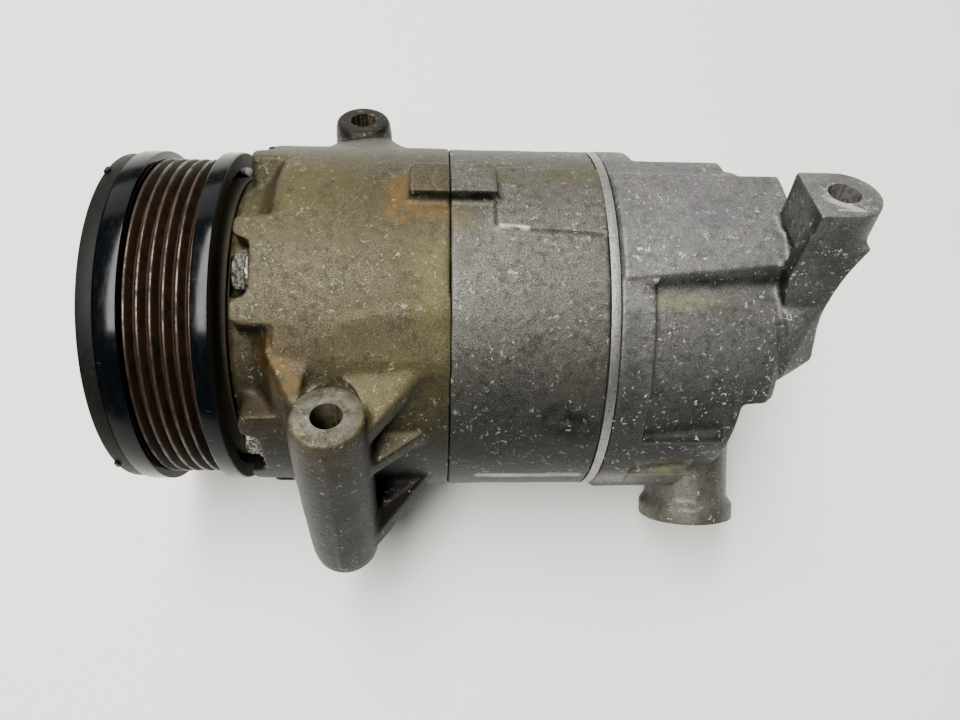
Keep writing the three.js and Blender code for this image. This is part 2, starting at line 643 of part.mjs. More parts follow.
const shaftProfile = [
  [8.6, 3.3], [8.6, SHAFT_NOSE], [24.2, SHAFT_NOSE], [25.7, SHAFT_RADIUS], [138, SHAFT_RADIUS],
  [138, 2], [24.5, 2], [24.5, 3.3],
];
piece('shaft', revolve(shaftProfile, BORE_SIDES), BRIGHT_STEEL);

const sealProfile = [
  [27, SHAFT_RADIUS + GAP], [26.4, 11], [26.4, NOSE_BORE - GAP], [33, NOSE_BORE - GAP],
  [33, 12.6], [28.4, 12], [28.2, SHAFT_RADIUS + GAP],
];
piece('shaft_seal', revolve(sealProfile, BORE_SIDES), RUBBER);
piece('seal_snap_ring', snapRing(24.3, 25.4, 11.5, NOSE_BORE - GAP, BORE_SIDES, 2), SPRING_STEEL);
piece('front_bearing', ring(44, 56, SHAFT_RADIUS + GAP, NOSE_BORE - GAP, BORE_SIDES), BRIGHT_STEEL);
piece('thrust_bearing', ring(CAVITY_FRONT + GAP, 62.4, 15, 24, BORE_SIDES), BRIGHT_STEEL);
piece('rear_bearing', ring(122, 136, SHAFT_RADIUS + GAP, 13, BORE_SIDES), BRIGHT_STEEL);

// ---- lug plate, swash plate and return spring ---------------------------------------------------

const LUG = { front: 62.7, rear: 71, radius: 42 };
const SWASH = { front: 84, rear: 91, radius: 42.5, bore: SHAFT_RADIUS + 0.4 };
const HINGE = { x: 79, y: 19.5, bore: 2.5 };

const hingeBore = rod([HINGE.x, HINGE.y, -15], [HINGE.x, HINGE.y, 15], HINGE.bore, 12);
const lugPlate = cut(
  join(
    ring(LUG.front, LUG.rear, SWASH.bore, LUG.radius, RACE_SIDES),
    block(LUG.rear - 1, 82.7, 14.6, 24, 4.5, 9),
    block(LUG.rear - 1, 82.7, 14.6, 24, -9, -4.5),
  ),
  hingeBore,
);
piece('lug_plate', lugPlate, DARK_STEEL);

const swashPlate = cut(
  join(
    ring(SWASH.front, SWASH.rear, SWASH.bore, SWASH.radius, RACE_SIDES),
    ring(82, 98, SWASH.bore, 14.8, RACE_SIDES),
    block(75.5, SWASH.front + 1, 15, 23.5, -4.2, 4.2),
  ),
  hingeBore,
);
piece('swash_plate', swashPlate, PISTON_ALLOY);
piece('hinge_pin', rod([HINGE.x, HINGE.y, -10], [HINGE.x, HINGE.y, 10], HINGE.bore - GAP, 12), BRIGHT_STEEL);

class Helix extends THREE.Curve {
  getPoint(t, target = new THREE.Vector3()) {
    const [y, z] = polar(11.6, 360 * 3 * t);
    return target.set(72.8 + 7.7 * t, y, z);
  }
}
const wire = new THREE.Shape().absarc(0, 0, 1, 0, 2 * Math.PI, false);
const spring = new THREE.ExtrudeGeometry(wire, { steps: 36, curveSegments: 2, extrudePath: new Helix() });
piece('return_spring', solid(spring), SPRING_STEEL);

// ---- pistons and shoes --------------------------------------------------------------------------

const SWASH_MIDDLE = (SWASH.front + SWASH.rear) / 2;
const SHOE_RADIUS = 8.2;
const shoeBall = (radius) => (
  solid(new THREE.SphereGeometry(radius, 10, 6).translate(SWASH_MIDDLE, CYLINDER_PITCH, 0))
);
const pistonTop = 145.7;
const piston = cut(
  join(
    rod([97, CYLINDER_PITCH, 0], [pistonTop, CYLINDER_PITCH, 0], CYLINDER_BORE - 0.4, BORE_SIDES),
    block(74, 99, 27.5, 48.8, -7.5, 7.5),
  ),
  block(81.5, 93.5, 20, 43.4, -20, 20),
  shoeBall(SHOE_RADIUS + GAP),
);
const frontShoe = shoeBall(SHOE_RADIUS).intersect(block(70, SWASH.front - GAP, 20, 50, -12, 12));
const rearShoe = shoeBall(SHOE_RADIUS).intersect(block(SWASH.rear + GAP, 105, 20, 50, -12, 12));

for (let k = 0; k < CYLINDERS; k += 1) {
  const turn = FIRST_CYLINDER + (360 / CYLINDERS) * k;
  piece(`piston_${k + 1}`, piston, PISTON_ALLOY, turn);
  piece(`front_shoe_${k + 1}`, frontShoe, BRIGHT_STEEL, turn);
  piece(`rear_shoe_${k + 1}`, rearShoe, BRIGHT_STEEL, turn);
}

// ---- lay the compressor on its barrel and far boss ----------------------------------------------

compressor.rotation.x = radians(LEAN);

export default compressor;
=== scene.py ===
"""Looks of an automotive air-conditioning compressor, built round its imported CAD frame.

Pieces are modelled in millimetres in the casting's own frame: x runs along the shaft from the clutch
to the rear head and z along the bores of the mounting bosses. place() then rolls them about the shaft
by LEAN and scales them to metres, which puts them in the CAD frame. Angles are degrees about the
shaft from +y towards +z.
"""

import json
import math

import bmesh
import bpy
from mathutils import Matrix, Vector, noise


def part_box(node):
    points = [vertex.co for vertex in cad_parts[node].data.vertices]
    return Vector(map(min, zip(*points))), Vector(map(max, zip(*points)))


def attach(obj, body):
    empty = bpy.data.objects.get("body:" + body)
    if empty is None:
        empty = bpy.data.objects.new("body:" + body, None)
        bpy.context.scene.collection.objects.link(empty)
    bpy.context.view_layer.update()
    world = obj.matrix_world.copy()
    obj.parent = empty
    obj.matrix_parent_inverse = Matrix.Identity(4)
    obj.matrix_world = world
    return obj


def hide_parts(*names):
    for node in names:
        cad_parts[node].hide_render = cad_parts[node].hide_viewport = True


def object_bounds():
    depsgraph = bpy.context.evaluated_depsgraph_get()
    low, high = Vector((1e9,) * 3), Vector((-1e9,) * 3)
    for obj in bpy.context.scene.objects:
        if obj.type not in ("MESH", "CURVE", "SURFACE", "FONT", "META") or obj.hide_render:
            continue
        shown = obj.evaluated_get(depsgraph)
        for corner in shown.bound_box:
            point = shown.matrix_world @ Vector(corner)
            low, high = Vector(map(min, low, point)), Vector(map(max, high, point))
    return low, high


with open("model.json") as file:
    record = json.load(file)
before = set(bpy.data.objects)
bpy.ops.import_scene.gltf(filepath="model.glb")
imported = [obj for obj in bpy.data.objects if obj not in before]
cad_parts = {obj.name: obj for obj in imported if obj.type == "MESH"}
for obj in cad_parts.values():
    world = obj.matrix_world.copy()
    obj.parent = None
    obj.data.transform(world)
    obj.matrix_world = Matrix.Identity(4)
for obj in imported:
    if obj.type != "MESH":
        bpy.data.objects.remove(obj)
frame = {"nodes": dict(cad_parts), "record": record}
CAD_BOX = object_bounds()

MM = 0.001
LEAN = -23.6
TO_FRAME = Matrix.Rotation(math.radians(LEAN), 4, "X") @ Matrix.Scale(MM, 4)


def span(node, axis):
    """The lowest and highest station of a CAD node along an axis, in millimetres."""
    low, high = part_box(node)
    return round(low[axis] / MM, 2), round(high[axis] / MM, 2)


def middle_of(node, axis):
    """The middle station of a CAD node along an axis, in millimetres."""
    return round(sum(span(node, axis)) / 2, 2)


# ---- camera, light and floor --------------------------------------------------------------------

CAMERA_AT = (0.0981, -0.1003, 0.2434)
CAMERA_FORWARD = (0.0604, 0.3287, -0.9425)
CAMERA_UP = (-0.0035, 0.9443, 0.3291)
SENSOR_MM = 36
LENS_MM = 28.18


def add_camera():
    """The camera as solved from the photograph, in metres of the CAD frame."""
    forward = Vector(CAMERA_FORWARD).normalized()
    right = forward.cross(Vector(CAMERA_UP)).normalized()
    up = right.cross(forward)
    data = bpy.data.cameras.new("camera")
    data.sensor_width = SENSOR_MM
    data.lens = LENS_MM
    data.clip_start = 0.01
    camera = bpy.data.objects.new("camera", data)
    turn = Matrix((right, up, -forward)).transposed().to_4x4()
    camera.matrix_world = Matrix.Translation(CAMERA_AT) @ turn
    bpy.context.scene.collection.objects.link(camera)
    bpy.context.scene.camera = camera


OBJECT_MIDDLE = (0.1, 0, 0)
LAMP_COLOR = (1, 0.985, 0.95)
ROOM_COLOR = (0.86, 0.88, 0.9, 1)
ROOM_STRENGTH = 0.2
FLOOR_SIZE = 8
FLOOR_DROP = 0.0005


def add_area_light(name, at, size, watts):
    """A soft rectangular lamp, aimed at the middle of the object."""
    data = bpy.data.lights.new(name, "AREA")
    data.shape = "RECTANGLE"
    data.size, data.size_y = size
    data.energy = watts
    data.color = LAMP_COLOR
    light = bpy.data.objects.new(name, data)
    aim = Vector(OBJECT_MIDDLE) - Vector(at)
    light.matrix_world = Matrix.Translation(at) @ aim.to_track_quat("-Z", "Y").to_matrix().to_4x4()
    bpy.context.scene.collection.objects.link(light)


def add_lights():
    add_area_light("ceiling_panel", at=(-0.22, 0.05, 1.3), size=(1.7, 0.32), watts=62)
    add_area_light("far_wall", at=(0.1, 1.5, 0.85), size=(2.6, 0.9), watts=16)
    world = bpy.data.worlds.new("room")
    world.use_nodes = True
    background = world.node_tree.nodes["Background"]
    background.inputs["Color"].default_value = ROOM_COLOR
    background.inputs["Strength"].default_value = ROOM_STRENGTH
    bpy.context.scene.world = world


def add_floor():
    """A plain pale floor, just under the lowest point of the castings' rough skin."""
    x, y, _ = OBJECT_MIDDLE
    level = CAD_BOX[0][2] - FLOOR_DROP
    bpy.ops.mesh.primitive_plane_add(size=FLOOR_SIZE, location=(x, y, level))
    floor = bpy.context.active_object
    floor.name = "floor"
    look = Look("floor_white")
    mottle = look.noise(120, detail=3)
    color = look.mix(mottle, (0.79, 0.785, 0.75), (0.82, 0.815, 0.785))
    floor.data.materials.append(look.finish(color, roughness=0.55, metallic=0))


# ---- materials ----------------------------------------------------------------------------------

class Look:
    """A material's node tree. Sizes are millimetres and points are in the casting's frame."""

    def __init__(self, name):
        self.material = bpy.data.materials.new(name)
        self.material.use_nodes = True
        self.tree = self.material.node_tree
        self.shader = self.tree.nodes["Principled BSDF"]
        place = self.tree.nodes.new("ShaderNodeTexCoord")
        self.where = place.outputs["Object"]
        self.skin = place.outputs["Normal"]

    def node(self, kind, inputs=(), **settings):
        made = self.tree.nodes.new(kind)
        for name, value in settings.items():
            setattr(made, name, value)
        for key, value in dict(inputs).items():
            self.feed(made.inputs[key], value)
        return made

    def feed(self, socket, value):
        if isinstance(value, bpy.types.NodeSocket):
            self.tree.links.new(value, socket)
        elif socket.type == "RGBA" and len(value) == 3:
            socket.default_value = (*value, 1)
        else:
            socket.default_value = value

    def noise(self, size, detail=4, rough=0.6, warp=0.0, stretch=None):
        where = self.where
        if stretch:
            scaled = self.node("ShaderNodeMapping", {"Vector": where, "Scale": stretch})
            where = scaled.outputs["Vector"]
        made = self.node("ShaderNodeTexNoise", {
            "Vector": where, "Scale": 1 / (size * MM), "Detail": detail,
            "Roughness": rough, "Distortion": warp,
        })
        return made.outputs["Fac"]

    def ramp(self, value, low, high, start=0.0, end=1.0, smooth=True):
        made = self.node("ShaderNodeMapRange", {
            "Value": value, "From Min": low, "From Max": high, "To Min": start, "To Max": end,
        }, interpolation_type="SMOOTHSTEP" if smooth else "LINEAR")
        return made.outputs["Result"]

    def math(self, operation, a, b=0.0):
        made = self.node("ShaderNodeMath", operation=operation)
        self.feed(made.inputs[0], a)
        self.feed(made.inputs[1], b)
        return made.outputs[0]

    def mix(self, factor, a, b):
        made = self.node("ShaderNodeMix", data_type="RGBA")
        self.feed(made.inputs["Factor"], factor)
        self.feed(made.inputs["A"], a)
        self.feed(made.inputs["B"], b)
        return next(out for out in made.outputs if out.type == "RGBA")

    def vector_math(self, operation, inputs):
        return self.node("ShaderNodeVectorMath", inputs, operation=operation).outputs

    def axis(self, name):
        """One coordinate of the point, in metres of the CAD frame."""
        return self.node("ShaderNodeSeparateXYZ", {"Vector": self.where}).outputs[name]

    def reach(self):
        """Distance from the shaft's axis, in metres."""
        across = self.vector_math("MULTIPLY", {0: self.where, 1: (0, 1, 1)})[0]
        return self.vector_math("LENGTH", {0: across})["Value"]

    def blot(self, point, radius):
        """1 at a point of the casting, fading to 0 at the radius."""
        centre = TO_FRAME @ Vector(point)
        gap = self.vector_math("DISTANCE", {0: self.where, 1: centre})["Value"]
        return self.ramp(gap, radius * MM, 0.25 * radius * MM)

    def streak(self, start, end, radius):
        """1 along a line between two points of the casting, fading to 0 at the radius."""
        start, end = TO_FRAME @ Vector(start), TO_FRAME @ Vector(end)
        along = end - start
        offset = self.vector_math("SUBTRACT", {0: self.where, 1: start})[0]
        share = self.vector_math("DOT_PRODUCT", {0: offset, 1: along})["Value"]
        share = self.ramp(share, 0, along.length_squared, smooth=False)
        foot = self.vector_math("SCALE", {0: along, "Scale": share})[0]
        gap = self.vector_math("DISTANCE", {0: offset, 1: foot})["Value"]
        return self.ramp(gap, radius * MM, 0.3 * radius * MM)

    def marks(self, places):
        """Blots (point, radius) and streaks (start, end, radius) together."""
        mask = None
        for mark in places:
            spot = self.blot(*mark) if len(mark) == 2 else self.streak(*mark)
            mask = spot if mask is None else self.math("MAXIMUM", mask, spot)
        return mask

    def darken(self, color, factor):
        """The color scaled by a factor that may itself be a pattern."""
        return self.vector_math("SCALE", {0: color, "Scale": factor})[0]

    def edges(self):
        """1 on convex edges of the mesh."""
        return self.ramp(self.node("ShaderNodeNewGeometry").outputs["Pointiness"], 0.53, 0.6)

    def hollows(self):
        """1 in inside corners of the mesh."""
        return self.ramp(self.node("ShaderNodeNewGeometry").outputs["Pointiness"], 0.48, 0.4)

    def shine(self, level):
        self.shader.inputs["Specular IOR Level"].default_value = level

    def finish(self, color, roughness, metallic, height=None, bump=0.3, depth=0.4):
        """The finished material. depth is the height of the bump's relief in millimetres."""
        self.feed(self.shader.inputs["Base Color"], color)
        self.feed(self.shader.inputs["Roughness"], roughness)
        self.feed(self.shader.inputs["Metallic"], metallic)
        if height is not None:
            relief = self.node("ShaderNodeBump", {
                "Strength": bump, "Distance": depth * MM, "Height": height,
            })
            self.feed(self.shader.inputs["Normal"], relief.outputs["Normal"])
        return self.material


def scaled(color, factor):
    return tuple(min(1, factor * channel) for channel in color)


# Painted shade: colour fades low down and on faces turned down, where less light falls.
SHADE_REACH = 0.048
SHADE_DARKEST = 0.07
CHALK = (0.4, 0.4, 0.375)


def painted_shade_on(look, broad, shade_line):
    """Painted shade: how much colour is left, less of it low down from the given line, and on faces turned
    down.
    """
    facing = look.node("ShaderNodeSeparateXYZ", {"Vector": look.skin}).outputs["Z"]
    wavy = look.math("MULTIPLY", look.math("SUBTRACT", broad, 0.5), 0.03)
    height = look.math("ADD", look.axis("Z"), wavy)
    low_down = look.ramp(height, shade_line, shade_line + SHADE_REACH, SHADE_DARKEST, 1)
    return look.math("MULTIPLY", low_down, look.ramp(facing, 0, 0.92, 0.2, 1))


def cast_look(name, light, dark, patches, stains_and_painted_light, unshaded, flecks, metallic=0.55, shade_line=0.013):
    """Die-cast aluminium: sparkling grain, mottle, chalky flecks and worn edges, with painted shade low
    down, on faces turned down and in inside corners.

    The patches of the second list are dicts of colour; some are real marks of oil and dirt, others painted
    shade, a painted highlight and a painted reflection. The marks of the list after them are left mostly
    free of the painted shade."""
    look = Look(name)
    sparkle = look.noise(0.3, detail=3, rough=0.75)
    grain = look.noise(2.6, detail=7, rough=0.72)
    broad = look.noise(22, detail=6, rough=0.62, warp=0.6)
    color = look.mix(look.ramp(sparkle, 0.4, 0.63), dark, light)
    color = look.mix(look.ramp(grain, 0.46, 0.66, 0, 0.7), color, scaled(dark, 0.6))
    color = look.mix(look.ramp(broad, 0.44, 0.62, 0, 0.5), color, patches)
    unshaded_mask = look.marks(unshaded)
    # Painted shade low down and on faces turned down, mostly lifted at the listed marks.
    painted_shade = look.math("MAXIMUM", painted_shade_on(look, broad, shade_line), look.math("MULTIPLY", unshaded_mask, 0.75))
    # Painted shade for inside corners, left out at the listed marks.
    corner_shade = look.math("MULTIPLY", look.hollows(), 0.8)
    corner_shade = look.math("MULTIPLY", corner_shade, look.math("SUBTRACT", 1, unshaded_mask))
    for patch in stains_and_painted_light:
        rim = look.ramp(look.noise(patch["size"], detail=6, rough=0.75), 0.34, 0.62)
        mask = look.math("MULTIPLY", look.math("MULTIPLY", look.marks(patch["at"]), rim), patch["strength"])
        color = look.mix(mask, color, patch["color"])
    # The painted shade darkens the colour.
    color = look.darken(color, painted_shade)
    color = look.mix(corner_shade, color, scaled(dark, 0.15))
    worn = look.math("MULTIPLY", look.edges(), look.ramp(grain, 0.35, 0.55, 0.2, 0.8))
    color = look.mix(worn, color, scaled(light, 1.8))
    rough = look.ramp(sparkle, 0.35, 0.65, 0.55, 0.38)
    specks = look.ramp(look.noise(1.5, detail=4, rough=0.65, warp=0.8), 0.605, 0.64)
    places = look.ramp(look.noise(9, detail=5, rough=0.75), 0.43, 0.57)
    chalk = look.math("MULTIPLY", look.math("MULTIPLY", specks, places), flecks)
    color = look.mix(chalk, color, CHALK)
    metal = look.math("SUBTRACT", metallic, look.math("MULTIPLY", chalk, 0.3))
    relief = look.math("ADD", look.math("MULTIPLY", sparkle, 0.6), grain)
    look.shine(0.25)
    return look.finish(color, rough, metal, relief, bump=0.45, depth=0.3)


def stain_or_painted_light(color, strength, size, *at):
    """A patch of colour at blots and streaks. Most are oil and dirt marks; some are painted shade, one a
    painted highlight and one a painted reflection. size is the grain of its ragged rim, in millimetres.
    """
    return {"color": color, "strength": strength, "size": size, "at": at}


def machined_look(name, color, roughness):
    """Turned or ground metal with fine tool marks and a little dullness."""
    look = Look(name)
    marks = look.noise(1.2, detail=3, stretch=(1, 12, 12))
    dull = look.noise(7, detail=5, rough=0.7)
    shade = look.mix(look.ramp(dull, 0.4, 0.7, 0, 0.35), color, scaled(color, 0.45))
    shade = look.mix(look.ramp(marks, 0.35, 0.65, 0, 0.25), shade, scaled(color, 0.7))
    rough = look.ramp(dull, 0.35, 0.7, roughness, roughness + 0.2)
    return look.finish(shade, rough, 0.95, marks, bump=0.12, depth=0.05)


def painted_look():
    """Black enamel with scuffs. The belt grooves in it are rusty, with crests worn bright."""
    look = Look("pulley_enamel")
    fine = look.noise(0.5, detail=4, rough=0.7)
    patch = look.noise(5, detail=6, rough=0.7, stretch=(3, 1, 1))
    scratch = look.ramp(look.noise(0.9, detail=2, stretch=(0.12, 1.3, 1.3)), 0.7, 0.76)
    enamel = look.mix(look.ramp(patch, 0.45, 0.75, 0, 0.35), (0.0008, 0.0014, 0.002), (0.006, 0.0065, 0.007))
    enamel = look.mix(look.math("MULTIPLY", scratch, 0.35), enamel, (0.12, 0.12, 0.115))
    rust = look.mix(look.ramp(patch, 0.35, 0.65), (0.0035, 0.002, 0.001), (0.018, 0.008, 0.0035))
    rust = look.mix(look.ramp(fine, 0.45, 0.75, 0, 0.6), rust, (0.03, 0.018, 0.01))
    reach = look.reach()
    along = look.axis("X")
    belt = look.math("MULTIPLY", look.ramp(along, 0.0122, 0.0124), look.ramp(along, 0.0319, 0.0317))
    belt = look.math("MULTIPLY", belt, look.ramp(reach, 0.0529, 0.0526))
    crest = look.math("MULTIPLY", look.ramp(reach, 0.05175, 0.05205), belt)
    crest = look.math("MULTIPLY", crest, look.ramp(patch, 0.35, 0.6, 0.12, 1))
    back = look.math("MULTIPLY", look.ramp(along, 0.0364, 0.0367), look.ramp(reach, 0.0545, 0.0542))
    color = look.mix(belt, enamel, rust)
    color = look.mix(crest, color, (0.075, 0.055, 0.042))
    color = look.mix(back, color, (0.025, 0.021, 0.01))
    dusty = look.math("MAXIMUM", belt, back)
    rough = look.math("ADD", look.math("MULTIPLY", dusty, 0.42), look.ramp(patch, 0.4, 0.75, 0.14, 0.23))
    rough = look.math("SUBTRACT", rough, look.math("MULTIPLY", crest, 0.3))
    metal = look.math("MULTIPLY", crest, 0.95)
    height = look.math("MULTIPLY", fine, dusty)
    look.shine(0.12)
    return look.finish(color, rough, metal, height, bump=0.3, depth=0.12)


def plain_look(name, color, roughness, metallic=0.0, contrast=0.35, size=2.0, shine=0.3):
    """Rubber, plastic, oxide or varnish with a mottle and a fine surface."""
    look = Look(name)
    mottle = look.noise(size, detail=6, rough=0.7)
    shade = look.mix(look.ramp(mottle, 0.35, 0.7), scaled(color, 1 - contrast), color)
    shade = look.mix(look.math("MULTIPLY", look.edges(), 0.4), shade, scaled(color, 2))
    rough = look.ramp(mottle, 0.35, 0.7, roughness, min(1, roughness + 0.15))
    look.shine(shine)
    return look.finish(shade, rough, metallic, mottle, bump=0.2, depth=0.08)


def pitted_look(name, pit, face, low, high):
    """Bright metal eaten by pits."""
    look = Look(name)
    pits = look.noise(0.9, detail=5, rough=0.75)
    color = look.mix(look.ramp(pits, low, high), pit, face)
    rough = look.ramp(pits, low - 0.08, high + 0.08, 0.55, 0.3)
    return look.finish(color, rough, 0.9, pits, bump=0.6, depth=0.3)


# ---- mesh helpers -------------------------------------------------------------------------------

def polar(radius, angle):
    return radius * math.cos(math.radians(angle)), radius * math.sin(math.radians(angle))


def on_spoke(x, angle, reach, width=0.0):
    """A point on a line that leaves the shaft at an angle, with width to its side."""
    dy, dz = polar(1, angle)
    return Vector((x, reach * dy - width * dz, reach * dz + width * dy))


def soften(points, radius, steps=3, closed=True):
    """Rounds the corners of an outline. radius is one value or one for each corner."""
    count = len(points)
    radii = radius if isinstance(radius, (list, tuple)) else [radius] * count
    rounded = []
    for k, point in enumerate(points):
        here = Vector(point)
        ends = not closed and k in (0, count - 1)
        before = Vector(points[k - 1]) - here
        after = Vector(points[(k + 1) % count]) - here
        cut = min(radii[k], 0.45 * before.length, 0.45 * after.length)
        if ends or cut < 1e-4 or abs(before.angle(after) - math.pi) < 0.05:
            rounded.append(tuple(here))
            continue
        a, b = here + before.normalized() * cut, here + after.normalized() * cut
        for step in range(steps + 1):
            t = step / steps
            rounded.append(tuple(a * (1 - t) ** 2 + here * (2 * t * (1 - t)) + b * t * t))
    return rounded


def lathe(profile, sides=180, closed=True):
    """A solid of revolution about the shaft from [x, radius] points.

    A closed profile makes a ring. An open one starts and ends on the shaft."""
    body = bmesh.new()
    rings = []
    for x, radius in profile:
        if radius < 1e-6:
            rings.append([body.verts.new((x, 0, 0))] * sides)
        else:
            rings.append([body.verts.new((x, *polar(radius, 360 * k / sides))) for k in range(sides)])
    pairs = list(zip(rings, rings[1:] + rings[:1])) if closed else list(zip(rings, rings[1:]))
    for first, second in pairs:
        for k in range(sides):
            corners = [first[k - 1], first[k], second[k], second[k - 1]]
            unique = list(dict.fromkeys(corners))
            if len(unique) > 2:
                body.faces.new(unique)
    bmesh.ops.recalc_face_normals(body, faces=body.faces)
    return body


def disc(x0, x1, radius, sides=96):
    """A solid cylinder on the shaft's axis."""
    return lathe([(x0, 0), (x0, radius), (x1, radius), (x1, 0)], sides, closed=False)


def ring(x0, x1, inner, outer, sides=180, bevel=0.0):
    profile = [(x0, inner), (x0, outer), (x1, outer), (x1, inner)]
    return lathe(soften(profile, bevel) if bevel else profile, sides)


def rod(start, end, radius, sides=48, end_radius=None):
    """A cylinder between two points, or a cone if it has an end radius."""
    start, end = Vector(start), Vector(end)
    axis = end - start
    turn = axis.to_track_quat("Z", "Y").to_matrix().to_4x4()
    body = bmesh.new()
    bmesh.ops.create_cone(
        body, cap_ends=True, segments=sides, radius1=radius,
        radius2=radius if end_radius is None else end_radius, depth=axis.length,
        matrix=Matrix.Translation((start + end) / 2) @ turn,
    )
    return body


def bar(x0, x1, pitch, angle, radius, sides=32):
    """A cylinder along the shaft, off its axis by the pitch."""
    y, z = polar(pitch, angle)
    return rod((x0, y, z), (x1, y, z), radius, sides)


def hull(points):
    body = bmesh.new()
    for point in points:
        body.verts.new(point)
    made = bmesh.ops.convex_hull(body, input=body.verts)
    loose = [v for v in made["geom_interior"] if isinstance(v, bmesh.types.BMVert)]
    bmesh.ops.delete(body, geom=loose, context="VERTS")
    bmesh.ops.recalc_face_normals(body, faces=body.faces)
    return body


def box(x0, x1, y0, y1, z0, z1):
    return hull([(x, y, z) for x in (x0, x1) for y in (y0, y1) for z in (z0, z1)])


def shelf(points, thickness):
    """A flat plate under its corner points."""
    return hull([(x, y, z - drop) for x, y, z in points for drop in (0, thickness)])


def prism(outline, depth, place):
    """An outline pushed from 0 to depth. place turns (u, v, w) into a point."""
    body = bmesh.new()
    low = [body.verts.new(place(u, v, 0)) for u, v in outline]
    high = [body.verts.new(place(u, v, depth)) for u, v in outline]
    body.faces.new(low)
    body.faces.new(high[::-1])
    for k in range(len(outline)):
        body.faces.new([low[k - 1], low[k], high[k], high[k - 1]])
    bmesh.ops.recalc_face_normals(body, faces=body.faces)
    bmesh.ops.triangulate(body, faces=[f for f in body.faces if len(f.verts) > 4])
    return body


def spoke_plate(outline, angle, inner, outer):
    """An [x, width] outline pushed outwards along a spoke from one reach to another."""
    return prism(outline, outer - inner, lambda x, w, d: on_spoke(x, angle, inner + d, w))


def to_object(name, body):
    """A body as a scene object. The body is used up."""
    mesh = bpy.data.meshes.new(name)
    body.to_mesh(mesh)
    body.free()
    made = bpy.data.objects.new(name, mesh)
    bpy.context.scene.collection.objects.link(made)
    return made


def gather(name, bodies):
    """Several closed bodies as one object."""
    whole = bmesh.new()
    for body in bodies:
        part = bpy.data.meshes.new("part")
        body.to_mesh(part)
        body.free()
        whole.from_mesh(part)
        bpy.data.meshes.remove(part)
    return to_object(name, whole)


def settle(piece):
    """Applies the piece's modifiers."""
    bpy.context.view_layer.update()
    solved = piece.evaluated_get(bpy.context.evaluated_depsgraph_get())
    old = piece.data
    piece.data = bpy.data.meshes.new_from_object(solved)
    piece.modifiers.clear()
    bpy.data.meshes.remove(old)
    return piece


def remesh(piece, voxel):
    modifier = piece.modifiers.new("remesh", "REMESH")
    modifier.mode = "VOXEL"
    modifier.voxel_size = voxel
    return settle(piece)


def swell(piece, distance):
    """Moves the skin outwards, or inwards if the distance is negative."""
    modifier = piece.modifiers.new("swell", "DISPLACE")
    modifier.mid_level = 0
    modifier.strength = distance
    return settle(piece)


def cast(name, bodies, voxel=0.62, fillet=0.7, relax=2):
    """Melts bodies into one casting with rounded inside corners and slightly uneven skin."""
    piece = remesh(gather(name, bodies), voxel)
    swell(piece, fillet)
    remesh(piece, voxel)
    swell(piece, -fillet)
    modifier = piece.modifiers.new("relax", "SMOOTH")
    modifier.factor = 0.5
    modifier.iterations = relax
    settle(piece)
    roughen(piece.data)
    return piece


def roughen(mesh):
    """Moves each point of the skin in or out by about a tenth of a millimetre."""
    points = [vertex.co.copy() for vertex in mesh.vertices]
    normals = [normal.vector.copy() for normal in mesh.vertex_normals]
    moved = []
    for point, normal in zip(points, normals):
        lift = 0.12 * noise.noise(point * 0.11) + 0.03 * noise.noise(point * 0.7)
        moved.extend(point + normal * lift)
    mesh.vertices.foreach_set("co", moved)
    mesh.update()


def combine(piece, body, operation):
    """Joins a body to the piece, cuts it out of the piece, or keeps what they share."""
    tool = to_object("tool", body)
    modifier = piece.modifiers.new(operation.lower(), "BOOLEAN")
    modifier.operation = operation
    modifier.solver = "MANIFOLD"
    modifier.object = tool
    settle(piece)
    data = tool.data
    bpy.data.objects.remove(tool)
    bpy.data.meshes.remove(data)
    return piece


def carve(piece, bodies):
    for body in bodies:
        combine(piece, body, "DIFFERENCE")
    return piece


def to_body(piece):
    """The object's mesh as a loose body. The object itself is removed."""
    body = bmesh.new()
    body.from_mesh(piece.data)
    bpy.data.objects.remove(piece)
    return body


def trimmed(body, tool):
    """A body cut down to what it shares with the tool."""
    return to_body(combine(to_object("trimmed", body), tool, "INTERSECT"))


def place(piece, body, slot, look, replaced, crease=32, turn=0.0):
    """Puts a finished piece in the CAD frame, on its body, in place of its CAD node.

    crease is the angle from which an edge stays sharp, and turn spins the piece about the shaft."""
    spin = Matrix.Rotation(math.radians(turn), 4, "X")
    piece.data.transform(TO_FRAME @ spin)
    piece.data.shade_smooth()
    piece.data.set_sharp_from_angle(angle=math.radians(crease))
    piece.data.materials.clear()
    piece.data.materials.append(look)
    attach(piece, body)
    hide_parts(replaced)
    return piece


# ---- clutch and pulley --------------------------------------------------------------------------

RIB_PITCH = 3.56
RIBS = 5
FIRST_CREST = 13.0
CREST = 52.25
ROOT = 49.6
FLANGE = span("pulley", 1)[1]
PULLEY_FRONT, PULLEY_REAR = span("pulley", 0)
FIRST_SPRING = {"hub": polar(21, 0), "plate": polar(36, 62)}
SPRING_TURNS = (0, 120, 240)
SPRING_WIDTH = 11
SPRING_THICKNESS = 0.5
RIVET = 1.9
RIVET_HOLE = 2.2
HEX_M6 = 5.77
BOLT_SHANK = 3


